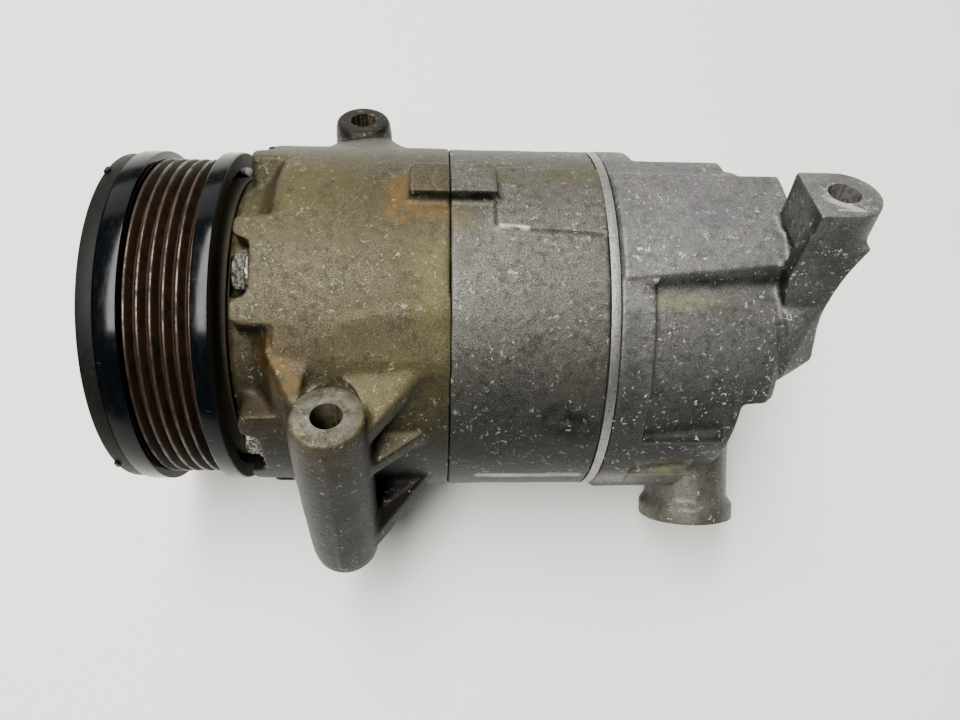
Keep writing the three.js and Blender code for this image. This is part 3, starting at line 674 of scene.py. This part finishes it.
def pulley_profile():
    outline = [(PULLEY_FRONT, 22.3), (PULLEY_FRONT, FLANGE), (12.1, FLANGE), (12.2, 50.7), (12.5, 50.7)]
    radii = [0.3, 0.55, 0.35, 0.1, 0.05]
    for k in range(RIBS):
        crest = FIRST_CREST + RIB_PITCH * k
        root = crest + RIB_PITCH / 2
        outline += [(crest - 0.33, CREST), (crest + 0.33, CREST), (root - 0.2, ROOT), (root + 0.2, ROOT)]
        radii += [0.16, 0.16, 0.15, 0.15]
    last = FIRST_CREST + RIB_PITCH * RIBS
    outline += [(last - 0.33, CREST), (31.3, CREST), (31.5, FLANGE), (36.4, FLANGE), (PULLEY_REAR, 54.1)]
    radii += [0.16, 0.1, 0.4, 0.4, 0.3]
    outline += [
        (PULLEY_REAR, 50), (34, 47.4), (11, 47.4), (11, 29.6), (33, 29.6), (33, 26.5),
        (11.6, 26.5), (11.6, 22.3),
    ]
    radii += [0.3, 0.5, 0.5, 0.5, 0.3, 0.2, 0.2, 0.2]
    return soften(outline, radii)


def stud(pitch, angle, root):
    """A rivet with a domed head, standing in the plate behind it."""
    y, z = polar(pitch, angle)
    profile = [
        (-1.7, 0), (-1.66, 1.2), (-1.5, 2.4), (-1.2, 3.1), (-0.8, 3.4), (-0.52, 3.4), (-0.5, RIVET),
        (root, RIVET), (root, 0),
    ]
    body = lathe(profile, 32, closed=False)
    bmesh.ops.translate(body, verts=body.verts, vec=(0, y, z))
    return body


def arc_slot(inner, outer, angle, half):
    """A curved slot with round ends, through the armature plate."""
    middle, width = (inner + outer) / 2, (outer - inner) / 2
    outline = []
    for radius, start, sweep, first in (
        (outer, angle - half, 2 * half, 0), (inner, angle + half, -2 * half, 180),
    ):
        outline += [polar(radius, start + sweep * k / 24) for k in range(25)]
        y, z = polar(middle, start + sweep)
        for k in range(1, 8):
            dy, dz = polar(width, start + sweep + first + 180 * k / 8)
            outline.append((y + dy, z + dz))
    return prism(outline, 10, lambda y, z, x: (x - 2, y, z))


def rim_tab(angle):
    """A small tooth on the armature's rim."""
    outline = soften([(0.9, -1.6), (2.2, -1.2), (2.2, 1.2), (0.9, 1.6)], 0.4)
    return spoke_plate(outline, angle, 52.5, 54.3)


def build_pulley(looks):
    pulley = to_object("pulley_visual", lathe(pulley_profile(), 256))
    place(pulley, "pulley_body", "black_paint", looks["enamel"], "pulley", crease=28)


def build_armature(looks):
    profile = [(0.8, 30), (0.8, 53.6), (5.4, 53.6), (5.4, 30)]
    armature = to_object("armature_visual", lathe(soften(profile, 0.45), 220))
    for angle in (83, 193, 313):
        combine(armature, rim_tab(angle), "UNION")
    carve(armature, [arc_slot(42, 44, angle, 45) for angle in SPRING_TURNS])
    for turn in SPRING_TURNS:
        combine(armature, stud(36, 62 + turn, 5), "UNION")
    place(armature, "armature", "dark_steel", looks["steel"], "armature_plate")


def build_hub(looks):
    profile = [
        (0.8, 7.5), (0.8, 27.5), (3.8, 27.5), (3.8, 12.5), (6, 10.8), (21, 10.8),
        (21, 7.8), (8.3, 7.8), (8.3, 3.4), (5.3, 3.4), (5.3, 7.5),
    ]
    hub = to_object("hub_visual", lathe(soften(profile, 0.4), 160))
    for turn in SPRING_TURNS:
        combine(hub, stud(21, turn, 3), "UNION")
    place(hub, "shaft_body", "dark_steel", looks["steel"], "clutch_hub")


def spring_outline():
    """A strip with round ends, from a rivet in the hub to one in the armature."""
    start, end = Vector(FIRST_SPRING["hub"]), Vector(FIRST_SPRING["plate"])
    along = (end - start).normalized()
    across = Vector((-along.y, along.x))
    half = SPRING_WIDTH / 2
    outline = []
    for centre, first in ((end, -90), (start, 90)):
        for k in range(13):
            turn = math.radians(first + 15 * k)
            forth, side = half * math.cos(turn), half * math.sin(turn)
            outline.append(tuple(centre + along * forth + across * side))
    return outline


def build_leaf_springs(looks):
    outline = spring_outline()
    for k, turn in enumerate(SPRING_TURNS):
        strip = prism(outline, SPRING_THICKNESS, lambda y, z, x: (x, y, z))
        spring = to_object(f"leaf_spring_visual_{k + 1}", strip)
        carve(spring, [rod((-2, *end), (2, *end), RIVET_HOLE, 32) for end in FIRST_SPRING.values()])
        place(spring, "shaft_body", "spring_steel", looks["spring"], f"leaf_spring_{k + 1}", turn=turn)


def build_hub_bolt(looks):
    bolt = to_object("hub_bolt_visual", hex_head(0, 3.8, HEX_M6, 6.4))
    combine(bolt, disc(4.5, 24, BOLT_SHANK, 32), "UNION")
    place(bolt, "shaft_body", "bright_steel", looks["zinc"], "hub_bolt")


def hex_head(x0, x1, corner, flange):
    """A flanged hexagon head with chamfered corners, and its washer face."""
    outline = [polar(corner, 30 + 60 * k) for k in range(6)]
    head = to_object("head", prism(outline, x1 - x0 + 0.4, lambda y, z, x: (x0 + x, y, z)))
    chamfer = lathe([
        (x0, 0), (x0, corner * 0.8), (x0 + 0.9, corner * 1.02), (x1 + 2, corner * 1.02), (x1 + 2, 0),
    ], 60, closed=False)
    combine(head, chamfer, "INTERSECT")
    collar = [(x1 - 0.2, 0), (x1 - 0.2, flange - 1.2), (x1 + 0.5, flange), (x1 + 1.2, flange), (x1 + 1.2, 0)]
    return to_body(combine(head, lathe(collar, 60, closed=False), "UNION"))


# ---- front housing ------------------------------------------------------------------------------

CASE = span("rear_head", 1)[1]
BLOCK_FRONT = span("cylinder_block", 0)[0]
JOINT = BLOCK_FRONT - 0.1
BOLTS = [2 + 60 * k for k in range(6)]
BOLT_PITCH = 49.5
BOLT_HOLE = 3.4
NOTCH = 6.9
NEAR_BOSS = {"x": 69.1, "y": -61.9, "top": 23.0, "bottom": -48.0}
FAR_BOSS = {"x": 71.9, "y": 61.9, "top": 40.0, "bottom": -31.0}
MOUNT_BORE = 4.5
SHAFT_BORE = 14.3
NOSE = 17.2
SHOULDER = 20
FACE_DEPTH = 8
FACE_FLARE = 1.6


def lobe(angle):
    """The collar round a case bolt's head: a plate with a round-cornered notch in its front edge."""
    outline = [
        (57, -16.2), (42.3, -15.6), (42.3, -9.2), (47.3, -7.8),
        (47.3, 7.8), (42.3, 9.2), (42.3, 15.6), (57, 16.2),
    ]
    radii = [0, 4.5, 2.8, 3.6, 3.6, 2.8, 4.5, 0]
    return trimmed(spoke_plate(soften(outline, radii, 6), angle, 41, 62), disc(40, 60, CASE, 180))


def boss_body(boss, girth, sides=64):
    """A mounting boss: fuller in the middle, rounded at its lower end."""
    top, bottom = boss["top"], boss["bottom"]
    length = top - bottom
    levels = [
        (1.0, 0.0), (0.999, -0.4), (0.985, 0.5), (0.93, 1.0), (0.8, 1.3), (0.5, 1.2), (0.2, 0.9),
        (0.08, 0.6), (0.03, 0.1), (0.01, -0.6), (0.0, -1.6),
    ]
    side = [(bottom + length * share, girth + extra) for share, extra in levels]
    body = lathe([(top, 0), *side, (bottom, 0)], sides, closed=False)
    upright = Matrix(((0, 0, 1, boss["x"]), (0, 1, 0, boss["y"]), (1, 0, 0, 0), (0, 0, 0, 1)))
    bmesh.ops.transform(body, matrix=upright, verts=body.verts)
    bmesh.ops.recalc_face_normals(body, faces=body.faces)
    return body


def upright_rod(place, low, high, radius, end_radius=None):
    """A cylinder along z from low to high, where a boss or lug stands."""
    return rod((place["x"], place["y"], low), (place["x"], place["y"], high), radius, 64, end_radius)


def bore(boss):
    return upright_rod(boss, boss["bottom"] - 9, boss["top"] + 9, MOUNT_BORE)


def face_cut(boss, radius, end):
    """Clears everything past a boss's machined face, flaring a little outwards."""
    level = boss[end]
    away = FACE_DEPTH if end == "top" else -FACE_DEPTH
    return upright_rod(boss, level, level + away, radius, radius + FACE_FLARE)


def front_shell():
    return lathe([
        (39.3, 0), (39.3, 46), (41, 47.4), (46.6, 48), (49.4, 50.6), (52.6, 55.6), (54.6, CASE),
        (JOINT, CASE), (JOINT, 0),
    ], 180, closed=False)


def near_boss_webs():
    """Three shelves and two webs that tie the near boss to the barrel."""
    shelves = [
        shelf([
            (75, -61, 19.6), (78.8, -65.5, 17), (96.4, -49.8, 27.8), (97, -46, 31.5), (72.5, -49.2, 28.4),
        ], 5),
        shelf([(68, -58, 6), (79.5, -66, 4), (96.3, -56.4, 9.3), (97, -50, 10.5), (68, -50, 9)], 4.6),
        shelf([
            (70, -66, -32), (79.6, -66.5, -32.5), (96.4, -55, -13.8), (96.4, -48, -12), (66, -44, -24),
        ], 7.5),
    ]
    web = hull([
        (65, -60, 19.5), (74, -60, 19.5), (65, -60, -42), (74, -60, -42),
        (64, -50, 22), (78, -49, 24), (63, -42, -36), (78, -42, -36),
    ])
    front_web = hull([
        (51.7, -43, 33.5), (51.7, -46.6, 32.3), (59.7, -59, 20.4), (61.5, -54, 22.4), (64, -47.5, 31),
        (60, -43, 35), (53, -52, 6), (59.7, -60, 2), (63, -54, 0),
    ])
    return [*shelves, web, front_web]


def far_boss_webs():
    return [
        shelf([(64, 57, 35), (80, 57, 37), (90.5, 20.5, 53.2), (63, 18, 54)], 5),
        hull([
            (68, 60, 36), (76, 60, 36), (68, 60, -28), (76, 60, -28),
            (66, 42, 38), (78, 42, 38), (66, 44, -31), (78, 44, -31),
        ]),
    ]


def front_housing_bodies():
    pad_outline = soften([(70.8, -5.2), (70.8, 11), (103, 11), (103, -12)], [4, 0, 0, 0])
    pad = spoke_plate(pad_outline, 142, 40, CASE + 0.45)
    joint_block = box(91, JOINT, -10, 4, 54, 60)
    parting_rib = box(68.6, 69.6, -73.6, -62, -42, 18)
    return [
        front_shell(), disc(30, 42, SHOULDER, 120), *(lobe(angle) for angle in BOLTS),
        *near_boss_webs(), *far_boss_webs(), boss_body(NEAR_BOSS, 10.2), parting_rib,
        boss_body(FAR_BOSS, 9.1), joint_block, trimmed(pad, disc(60, 110, CASE + 0.8, 180)),
    ]


def front_nose():
    """The turned nose that the pulley bearing and the coil sit on, with its two ring grooves."""
    return lathe([
        (9.5, 0), (9.5, NOSE), (10.1, NOSE), (10.1, 15.7), (11.9, 15.7), (11.9, NOSE), (32.3, NOSE),
        (32.3, SHOULDER), (35, SHOULDER), (35, 18.4), (36.8, 18.4), (36.8, SHOULDER), (42, SHOULDER),
        (42, 0),
    ], 120, closed=False)


def build_front_housing(looks):
    housing = cast("front_housing_visual", front_housing_bodies())
    carve(housing, [ring(20, 39.3, 17.3, 60, 96)])
    combine(housing, front_nose(), "UNION")
    carve(housing, [
        disc(JOINT, 115, 70), disc(60, 110, 52.8, 120), disc(8, 61, SHAFT_BORE, 64),
        bore(NEAR_BOSS), bore(FAR_BOSS),
        face_cut(NEAR_BOSS, 10.25, "top"), face_cut(NEAR_BOSS, 9, "bottom"),
        face_cut(FAR_BOSS, 9.3, "top"), face_cut(FAR_BOSS, 8, "bottom"),
        *(bar(40, 61, BOLT_PITCH, angle, BOLT_HOLE) for angle in BOLTS),
        *(bar(40, 47.5, BOLT_PITCH, angle, NOTCH, 40) for angle in BOLTS),
    ])
    place(housing, "housing", "front_cast", looks["front"], "front_housing")


# ---- cylinder block and valve plate -------------------------------------------------------------

BLOCK = span("cylinder_block", 1)[1]
BLOCK_REAR, PLATE_REAR = span("valve_plate", 0)
CYLINDERS = [32 + 60 * k for k in range(6)]
CYLINDER_PITCH = 35
CYLINDER_BORE = 14.5
PANEL = 58.1
SEAL_GROOVE = (53.5, 55.7)


def block_barrel():
    profile = [(BLOCK_FRONT, 0), (BLOCK_FRONT, BLOCK), (BLOCK_REAR, BLOCK), (BLOCK_REAR, 0)]
    return lathe(soften(profile, 0.15, closed=False), 220, closed=False)


def block_panel():
    """The slightly raised panel on the block's upper side."""
    corners = [(115.5, -12.5), (115.5, 12.5), (BLOCK_REAR, 14.5), (BLOCK_REAR, -12.5)]
    outline = soften(corners, [1, 1.8, 1, 1], 4)
    return trimmed(spoke_plate(outline, 97, 40, 58), disc(110, 150, PANEL, 220))


def build_block(looks):
    bodies = [block_barrel(), box(BLOCK_FRONT, 116, -10, 4, 50, 60), block_panel()]
    block = cast("cylinder_block_visual", bodies, voxel=0.55, fillet=0.4)
    carve(block, [
        disc(90, BLOCK_FRONT, 70), disc(BLOCK_REAR, 160, 70),
        *(bar(101, 150, CYLINDER_PITCH, angle, CYLINDER_BORE, 64) for angle in CYLINDERS),
        disc(100, 121, 9.4, 48), disc(120, 150, 13.3, 48), disc(146, 150, 50.4, 120),
        ring(100, 104.6, *SEAL_GROOVE, 120),
        *(bar(100, 150, BOLT_PITCH, angle, BOLT_HOLE) for angle in BOLTS),
    ])
    place(block, "housing", "block_cast", looks["block"], "cylinder_block")


def build_valve_plate(looks):
    """The plate between block and head, a little proud of both, with its valve ports."""
    plate = to_object("valve_plate_visual", ring(147.2, 149.9, 9, BLOCK + 0.15, 220, bevel=0.15))
    carve(plate, [
        *(bar(146, 152, BOLT_PITCH, angle, BOLT_HOLE) for angle in BOLTS),
        *(bar(146, 152, 42, angle, 2.8) for angle in CYLINDERS),
        *(bar(146, 152, 28, angle, 2.4) for angle in CYLINDERS),
    ])
    place(plate, "housing", "bright_steel", looks["plate"], "valve_plate")


# ---- rear head ----------------------------------------------------------------------------------

HEAD_FRONT = PLATE_REAR - 0.05
REAR_LUG = {"x": 207.2, "y": -24.5, "top": 70.9, "bottom": 56.0}
LUG_RADIUS = 10.2
VALVE = {"x": middle_of("control_valve_ring", 0), "angle": 226}
VALVE_BORE = 9.5
PORTS = -LEAN
PORT_FACE = 52
RELIEF = polar(36, -20)


def valve_rod(start, end, radius, sides=64, end_radius=None):
    """A cylinder along the control valve's axis, between two distances from the shaft."""
    ends = [on_spoke(VALVE["x"], VALVE["angle"], reach) for reach in (start, end)]
    return rod(*ends, radius, sides, end_radius)


def port_rod(x, start, end, radius, width=0.0, sides=48):
    """A cylinder square to the port pad."""
    return rod(on_spoke(x, PORTS, start, width), on_spoke(x, PORTS, end, width), radius, sides)


def port_plate(outline, start, end):
    return spoke_plate(outline, PORTS, start, end)


def rear_head_bodies():
    flange = disc(HEAD_FRONT, 160, CASE, 220)
    profile = [(151, 0), (151, 54), (162, 54), (197, 51.3), (200, 49), (200, 0)]
    high = trimmed(lathe(profile, 180, closed=False), box(150, 210, -60, 60, 13, 60))
    low = trimmed(lathe(profile, 180, closed=False), box(150, 190, -60, 60, -60, 14))
    top_near = trimmed(disc(151, 202, CASE + 0.9, 180), hull([
        (x, y, z) for x, near in ((150, -33), (202, -28.7)) for y in (near, 3.5) for z in (20, 60)
    ]))
    top_far = trimmed(disc(151, 187, CASE + 0.2, 180), box(150, 187, 3, 14.3, 20, 60))
    valve = [valve_rod(4, 65, 14.2), valve_rod(62, 65, 14.2, end_radius=16.2), valve_rod(64.9, 70, 16.2)]
    valve_shelf = hull([
        (151, -53, -18), (181, -53, -18), (151, -40, -14), (183, -40, -14),
        (151, -49.5, -30.5), (178, -49.5, -30.5), (151, -38, -40), (183, -38, -40),
    ])
    rib = rod((159, -53.3, 2), (186, -53, 2), 2.4, 24)
    pad_outline = soften([(160.5, -17), (160.5, 17), (195, 17), (195, -17)], 5, 5)
    port_pad = port_plate(pad_outline, 30, PORT_FACE)
    return [flange, high, low, top_near, top_far, *valve, valve_shelf, rib, port_pad, *lug_bodies()]


def lug_tip(near, far):
    """The flat, round-ended plate that the rear mounting bore goes through."""
    outline = [(197.5, far), (197.5, near)]
    for k in range(25):
        dy, dx = polar(LUG_RADIUS, -90 + 7.5 * k)
        outline.append((REAR_LUG["x"] + dy, REAR_LUG["y"] + dx))
    thickness = REAR_LUG["top"] - REAR_LUG["bottom"]
    return prism(outline, thickness, lambda x, y, d: (x, y, REAR_LUG["bottom"] + d))


def lug_arm(near):
    """The curved arm under the lug's near side."""
    outline = [(200, 11.5), (208, 7.5), (215.1, 17.7)]
    for k in range(1, 13):
        t = k / 12
        a, b, c = (1 - t) ** 2, 2 * t * (1 - t), t * t
        outline.append((215.1 * a + 206.8 * b + 215.5 * c, 17.7 * a + 38 * b + 60.2 * c))
    outline += [(197, 64), (196, 50), (197.5, 42), (200, 32)]
    return prism(outline, 5.4, lambda x, z, d: (x, near + d, z))


def lug_bodies():
    near, far = REAR_LUG["y"] - LUG_RADIUS, REAR_LUG["y"] + LUG_RADIUS
    gusset = hull([
        (196, -29.3, 40), (209.7, -29.3, 39), (209.7, -35, 38.8), (199, -37, 37.5), (201, -40, 33),
        (213, -29.3, 16), (213.6, -36.5, 18.5), (202, -43.5, 20), (201, -43.5, 16), (198, -29.3, 8),
    ])
    neck = hull([
        (197.5, near, 66), (197.5, far, 66), (207, near, 66), (207, far, 64),
        (199, near, 47), (199.5, -20, 50), (207, near, 47), (207, -22, 50),
    ])
    return [lug_tip(near, far), lug_arm(near), gusset, neck]


def build_rear_head(looks):
    head = cast("rear_head_visual", rear_head_bodies(), voxel=0.53, fillet=0.5)
    above_ports = [(155, -30), (155, 30), (200, 30), (200, -30)]
    carve(head, [
        disc(140, HEAD_FRONT, 70), disc(150, 176, 33, 96), ring(150, 171, 37.5, 46, 120),
        ring(150, 152.6, *SEAL_GROOVE, 120),
        *(bar(148, 166, BOLT_PITCH, angle, BOLT_HOLE) for angle in BOLTS),
        upright_rod(REAR_LUG, 40, 90, MOUNT_BORE),
        rod((206, REAR_LUG["y"], REAR_LUG["top"]), (206, REAR_LUG["y"], 85), 18),
        port_rod(168.5, 41, 60, 7.5), port_rod(185.5, 18, 60, 6), port_rod(177, 38, 60, 3.4, 11.5),
        rod(on_spoke(170, PORTS, 23), on_spoke(185.5, PORTS, 23), 4.5, 32),
        valve_rod(24, 75, VALVE_BORE), valve_rod(70, 80, 30),
        port_plate(above_ports, PORT_FACE, PORT_FACE + 12),
        rod((180, *RELIEF), (195, *RELIEF), 5.4, 32),
    ])
    place(head, "housing", "head_cast", looks["head"], "rear_head")


# ---- bolts, valves and connector ----------------------------------------------------------------

SHINY_BOLTS = (2, 3)
CONNECTOR = -28


def build_case_bolts(looks):
    """Six long bolts, each turned a little differently. The heads of two are less dirty."""
    for k, angle in enumerate(BOLTS):
        bolt = to_object(f"case_bolt_visual_{k + 1}", hex_head(42.3, 46, HEX_M6, 6.5))
        combine(bolt, disc(46.5, 164, BOLT_SHANK, 32), "UNION")
        twist = Matrix.Rotation(0.3 * k, 4, "X")
        bolt.data.transform(Matrix.Translation((0, *polar(BOLT_PITCH, angle))) @ twist)
        look = looks["zinc" if k in SHINY_BOLTS else "dusty"]
        place(bolt, "housing", "bright_steel", look, f"case_bolt_{k + 1}")


def build_coil_housing(looks):
    profile = [
        (14, 46.6), (39, 46.6), (39, 20.4), (37, 20.4), (37, 30.4), (14, 30.4),
        (14, 33.4), (33, 33.4), (33, 43.6), (14, 43.6),
    ]
    coil = to_object("coil_housing_visual", lathe(soften(profile, 0.5), 160))
    place(coil, "housing", "dark_steel", looks["dusty"], "coil_housing")


def build_connector(looks):
    """The coil's plug socket, with its two pins."""
    stem = spoke_plate(soften([(37.4, -7), (37.4, 7), (39.6, 7), (39.6, -7)], 0.6), CONNECTOR, 46.9, 57)
    connector = to_object("coil_connector_visual", stem)
    socket = spoke_plate(soften([(37.4, -7), (37.4, 7), (45.2, 7), (45.2, -7)], 1.5), CONNECTOR, 53.5, 65)
    combine(connector, socket, "UNION")
    mouth = soften([(38.4, -5.5), (38.4, 5.5), (44.2, 5.5), (44.2, -5.5)], 0.8)
    carve(connector, [spoke_plate(mouth, CONNECTOR, 56, 66)])
    for width in (-2.4, 2.4):
        ends = [on_spoke(41.3, CONNECTOR, reach, width) for reach in (55.5, 61)]
        combine(connector, rod(*ends, 0.6, 16), "UNION")
    place(connector, "housing", "connector_plastic", looks["plastic"], "coil_connector")


def build_control_valve(looks):
    valve = to_object("control_valve_visual", valve_rod(25, 50, 7.4))
    combine(valve, valve_rod(34, 42, 9.1), "UNION")
    combine(valve, valve_rod(49, 67.2, 9.1), "UNION")
    carve(valve, [valve_rod(65.6, 69, 5.2), valve_rod(60, 62, VALVE_BORE)])
    combine(valve, valve_rod(59, 63, 8.3), "UNION")
    place(valve, "housing", "bright_steel", looks["bright"], "control_valve")
    clip = to_object("control_valve_ring_visual", valve_rod(67.8, 69, 9.2))
    carve(clip, [valve_rod(67, 70, 7.2)])
    place(clip, "housing", "spring_steel", looks["spring"], "control_valve_ring")


def build_relief_valve(looks):
    """A short plug with its hexagon facing the rear."""
    relief = to_object("relief_valve_visual", hex_head(-6, -1.5, 8.1, 8.1))
    relief.data.transform(Matrix.Scale(-1, 4, (1, 0, 0)))
    relief.data.flip_normals()
    combine(relief, disc(-9, 1, 4.8, 32), "UNION")
    relief.data.transform(Matrix.Translation((190, *RELIEF)))
    place(relief, "housing", "bright_steel", looks["plate"], "relief_valve")


# ---- looks of the whole object ------------------------------------------------------------------

# Points of the castings, in millimetres of the casting's frame.
# A pale strip along the block's lower edge: a painted reflection.
REFLECTION_STRIP = ((112.5, -54.35, -16.7), (143.5, -54.35, -16.7), 2.8)
# NEAR_RING and SNOUT are spared most of the painted shade.
NEAR_RING = ((60, -52, 26), (77, -52, 26), 12)
SNOUT = [
    ((188, -34, -34), (188, -48, -50), 42), ((155, -49, -20), (178, -49, -20), 12), ((198, -24, 62), 14),
]

OLIVE = (0.08, 0.066, 0.02)
ORANGE = (0.105, 0.058, 0.013)
OIL = (0.006, 0.006, 0.005)
BROWN = (0.06, 0.03, 0.008)
# Near-black painted shade for recesses and faces turned from the light.
SHADOW_BLACK = (0.008, 0.007, 0.003)
YELLOW = (0.3, 0.27, 0.12)


def front_look():
    stains_and_painted_light = [
        stain_or_painted_light(
            OLIVE, 0.6, 9,
            ((60, 40, 45), 45), ((60, 0, 57), 26), ((88, -55, 20), 26), ((97, -45, 35), (97, -20, 54), 8),
        ),
        # Painted shade down the near face of the near boss, turned from the light.
        stain_or_painted_light((0.012, 0.012, 0.009), 0.95, 9, ((69, -68, 8), (69, -68, -40), 15)),
        stain_or_painted_light((0.2, 0.195, 0.17), 0.75, 3, ((69.1, -61.9, 24), 13)),
        stain_or_painted_light(
            ORANGE, 0.75, 4,
            ((50, -48, 30), 13), ((56, -52, 26), 9), ((88, -2, 58), (88, -14, 56), 6),
            ((90, -13, 56), (100, -14, 55), 5),
        ),
        stain_or_painted_light(BROWN, 0.7, 4, ((86, -60, -22), 16), ((48, -54, 8), 12)),
        # Painted shade in the recesses between the lobes, on the barrel's near flank and on the joint
        # block's near face.
        stain_or_painted_light(
            SHADOW_BLACK, 0.95, 5,
            ((42, -40, 32), 9), ((42, 0, 52), 7), ((50, -57, -5), 14),
            ((91, -10.5, 58), (103, -10.5, 58), 2.6),
        ),
    ]
    return cast_look(
        "front_casting", light=(0.1, 0.085, 0.046), dark=(0.018, 0.0145, 0.006),
        patches=(0.042, 0.034, 0.012), stains_and_painted_light=stains_and_painted_light, unshaded=[NEAR_RING], flecks=0.32,
        metallic=0.4, shade_line=0.008,
    )


def block_look():
    stains_and_painted_light = [
        stain_or_painted_light(OIL, 0.95, 4, ((134, -55.4, 12), (141, -56, 9), 9)),
        # Painted highlight along the near edge of the raised panel.
        stain_or_painted_light((0.5, 0.5, 0.43), 1, 3, ((116, -19.3, 54.8), (124, -20, 54.5), 1.2)),
        # Painted reflection along the block's lower edge.
        stain_or_painted_light((0.42, 0.45, 0.45), 1, 60, REFLECTION_STRIP),
        stain_or_painted_light(OLIVE, 0.6, 6, ((118, 5, 57), (145, 5, 57), 13), ((105, -14, 55), 9)),
        # Painted shade on the joint block's near face.
        stain_or_painted_light(SHADOW_BLACK, 0.95, 5, ((102, -10.5, 58), (116, -10.5, 58), 2.6)),
    ]
    return cast_look(
        "block_casting", light=(0.16, 0.156, 0.136), dark=(0.036, 0.035, 0.03),
        patches=(0.055, 0.053, 0.043), stains_and_painted_light=stains_and_painted_light, unshaded=[REFLECTION_STRIP], flecks=0.5,
    )


def head_look():
    stains_and_painted_light = [
        stain_or_painted_light(
            YELLOW, 0.42, 4,
            ((153, -52, -17), (180, -52, -17), 5), ((160, -35.4, 41), (180, -35, 41.3), 3.2),
        ),
        stain_or_painted_light((0.14, 0.133, 0.09), 0.5, 5, ((188, -40, -42), (188, -47, -49), 26)),
        # Painted shade in the band at the step behind the flange.
        stain_or_painted_light((0.04, 0.04, 0.037), 0.6, 14, ((154, -42, 38), (154, -56, 12), 6)),
        stain_or_painted_light((0.08, 0.078, 0.07), 0.6, 14, ((208, -24, 71), 14)),
        stain_or_painted_light((0.13, 0.12, 0.15), 0.4, 12, ((175, 0, 57), 40)),
        # Painted shade on the near face under the ledge of the upper block.
        stain_or_painted_light(SHADOW_BLACK, 0.95, 9, ((154, -34, 45), (200, -30.5, 45), 3.2)),
        # Painted shade on the near face of the lug's arm.
        stain_or_painted_light((0.04, 0.04, 0.036), 0.85, 30, ((203, -35, 60), (212, -35, 25), 11)),
    ]
    return cast_look(
        "head_casting", light=(0.235, 0.23, 0.207), dark=(0.072, 0.071, 0.065),
        patches=(0.055, 0.055, 0.05), stains_and_painted_light=stains_and_painted_light, unshaded=SNOUT, flecks=1.0,
    )


def make_looks():
    return {
        "front": front_look(),
        "block": block_look(),
        "head": head_look(),
        "enamel": painted_look(),
        "steel": plain_look(
            "phosphated_steel", (0.008, 0.0078, 0.007), 0.45, 0.1, contrast=0.6, size=1.2, shine=0.1,
        ),
        "dusty": plain_look("dusty_steel", (0.035, 0.029, 0.014), 0.75, 0.1, contrast=0.6, size=2.5),
        "spring": machined_look("spring_strip", (0.13, 0.132, 0.135), 0.4),
        "bright": machined_look("turned_steel", (0.5, 0.5, 0.47), 0.3),
        "plate": pitted_look("pitted_plate", (0.08, 0.078, 0.068), (0.24, 0.24, 0.22), low=0.34, high=0.5),
        "zinc": pitted_look("pitted_zinc", (0.02, 0.018, 0.012), (0.25, 0.24, 0.21), low=0.42, high=0.6),
        "plastic": plain_look("moulded_plastic", (0.02, 0.02, 0.02), 0.5, size=1.0),
        "rubber": plain_look("seal_rubber", (0.015, 0.015, 0.015), 0.75, size=0.8),
        "copper": plain_look("varnished_copper", (0.5, 0.23, 0.1), 0.35, 0.8, size=1.2),
        "alloy": machined_look("turned_alloy", (0.72, 0.73, 0.74), 0.35),
    }


# The look of each material slot's CAD nodes.
SLOT_LOOKS = {
    "front_cast": "front", "block_cast": "block", "head_cast": "head", "bright_steel": "bright",
    "dark_steel": "steel", "black_paint": "enamel", "spring_steel": "spring", "winding": "copper",
    "seal_rubber": "rubber", "connector_plastic": "plastic", "piston_alloy": "alloy",
}


def dress_cad_nodes(looks):
    """Gives every CAD node the finished material of its slot."""
    for part in frame["record"]["subparts"]:
        node = frame["nodes"][part["node"]]
        node.data.materials.clear()
        node.data.materials.append(looks[SLOT_LOOKS[part["material_slot"]]])


add_camera()
add_lights()
add_floor()
LOOKS = make_looks()
dress_cad_nodes(LOOKS)
build_pulley(LOOKS)
build_armature(LOOKS)
build_hub(LOOKS)
build_leaf_springs(LOOKS)
build_hub_bolt(LOOKS)
build_front_housing(LOOKS)
build_block(LOOKS)
build_valve_plate(LOOKS)
build_rear_head(LOOKS)
build_case_bolts(LOOKS)
build_coil_housing(LOOKS)
build_connector(LOOKS)
build_control_valve(LOOKS)
build_relief_valve(LOOKS)
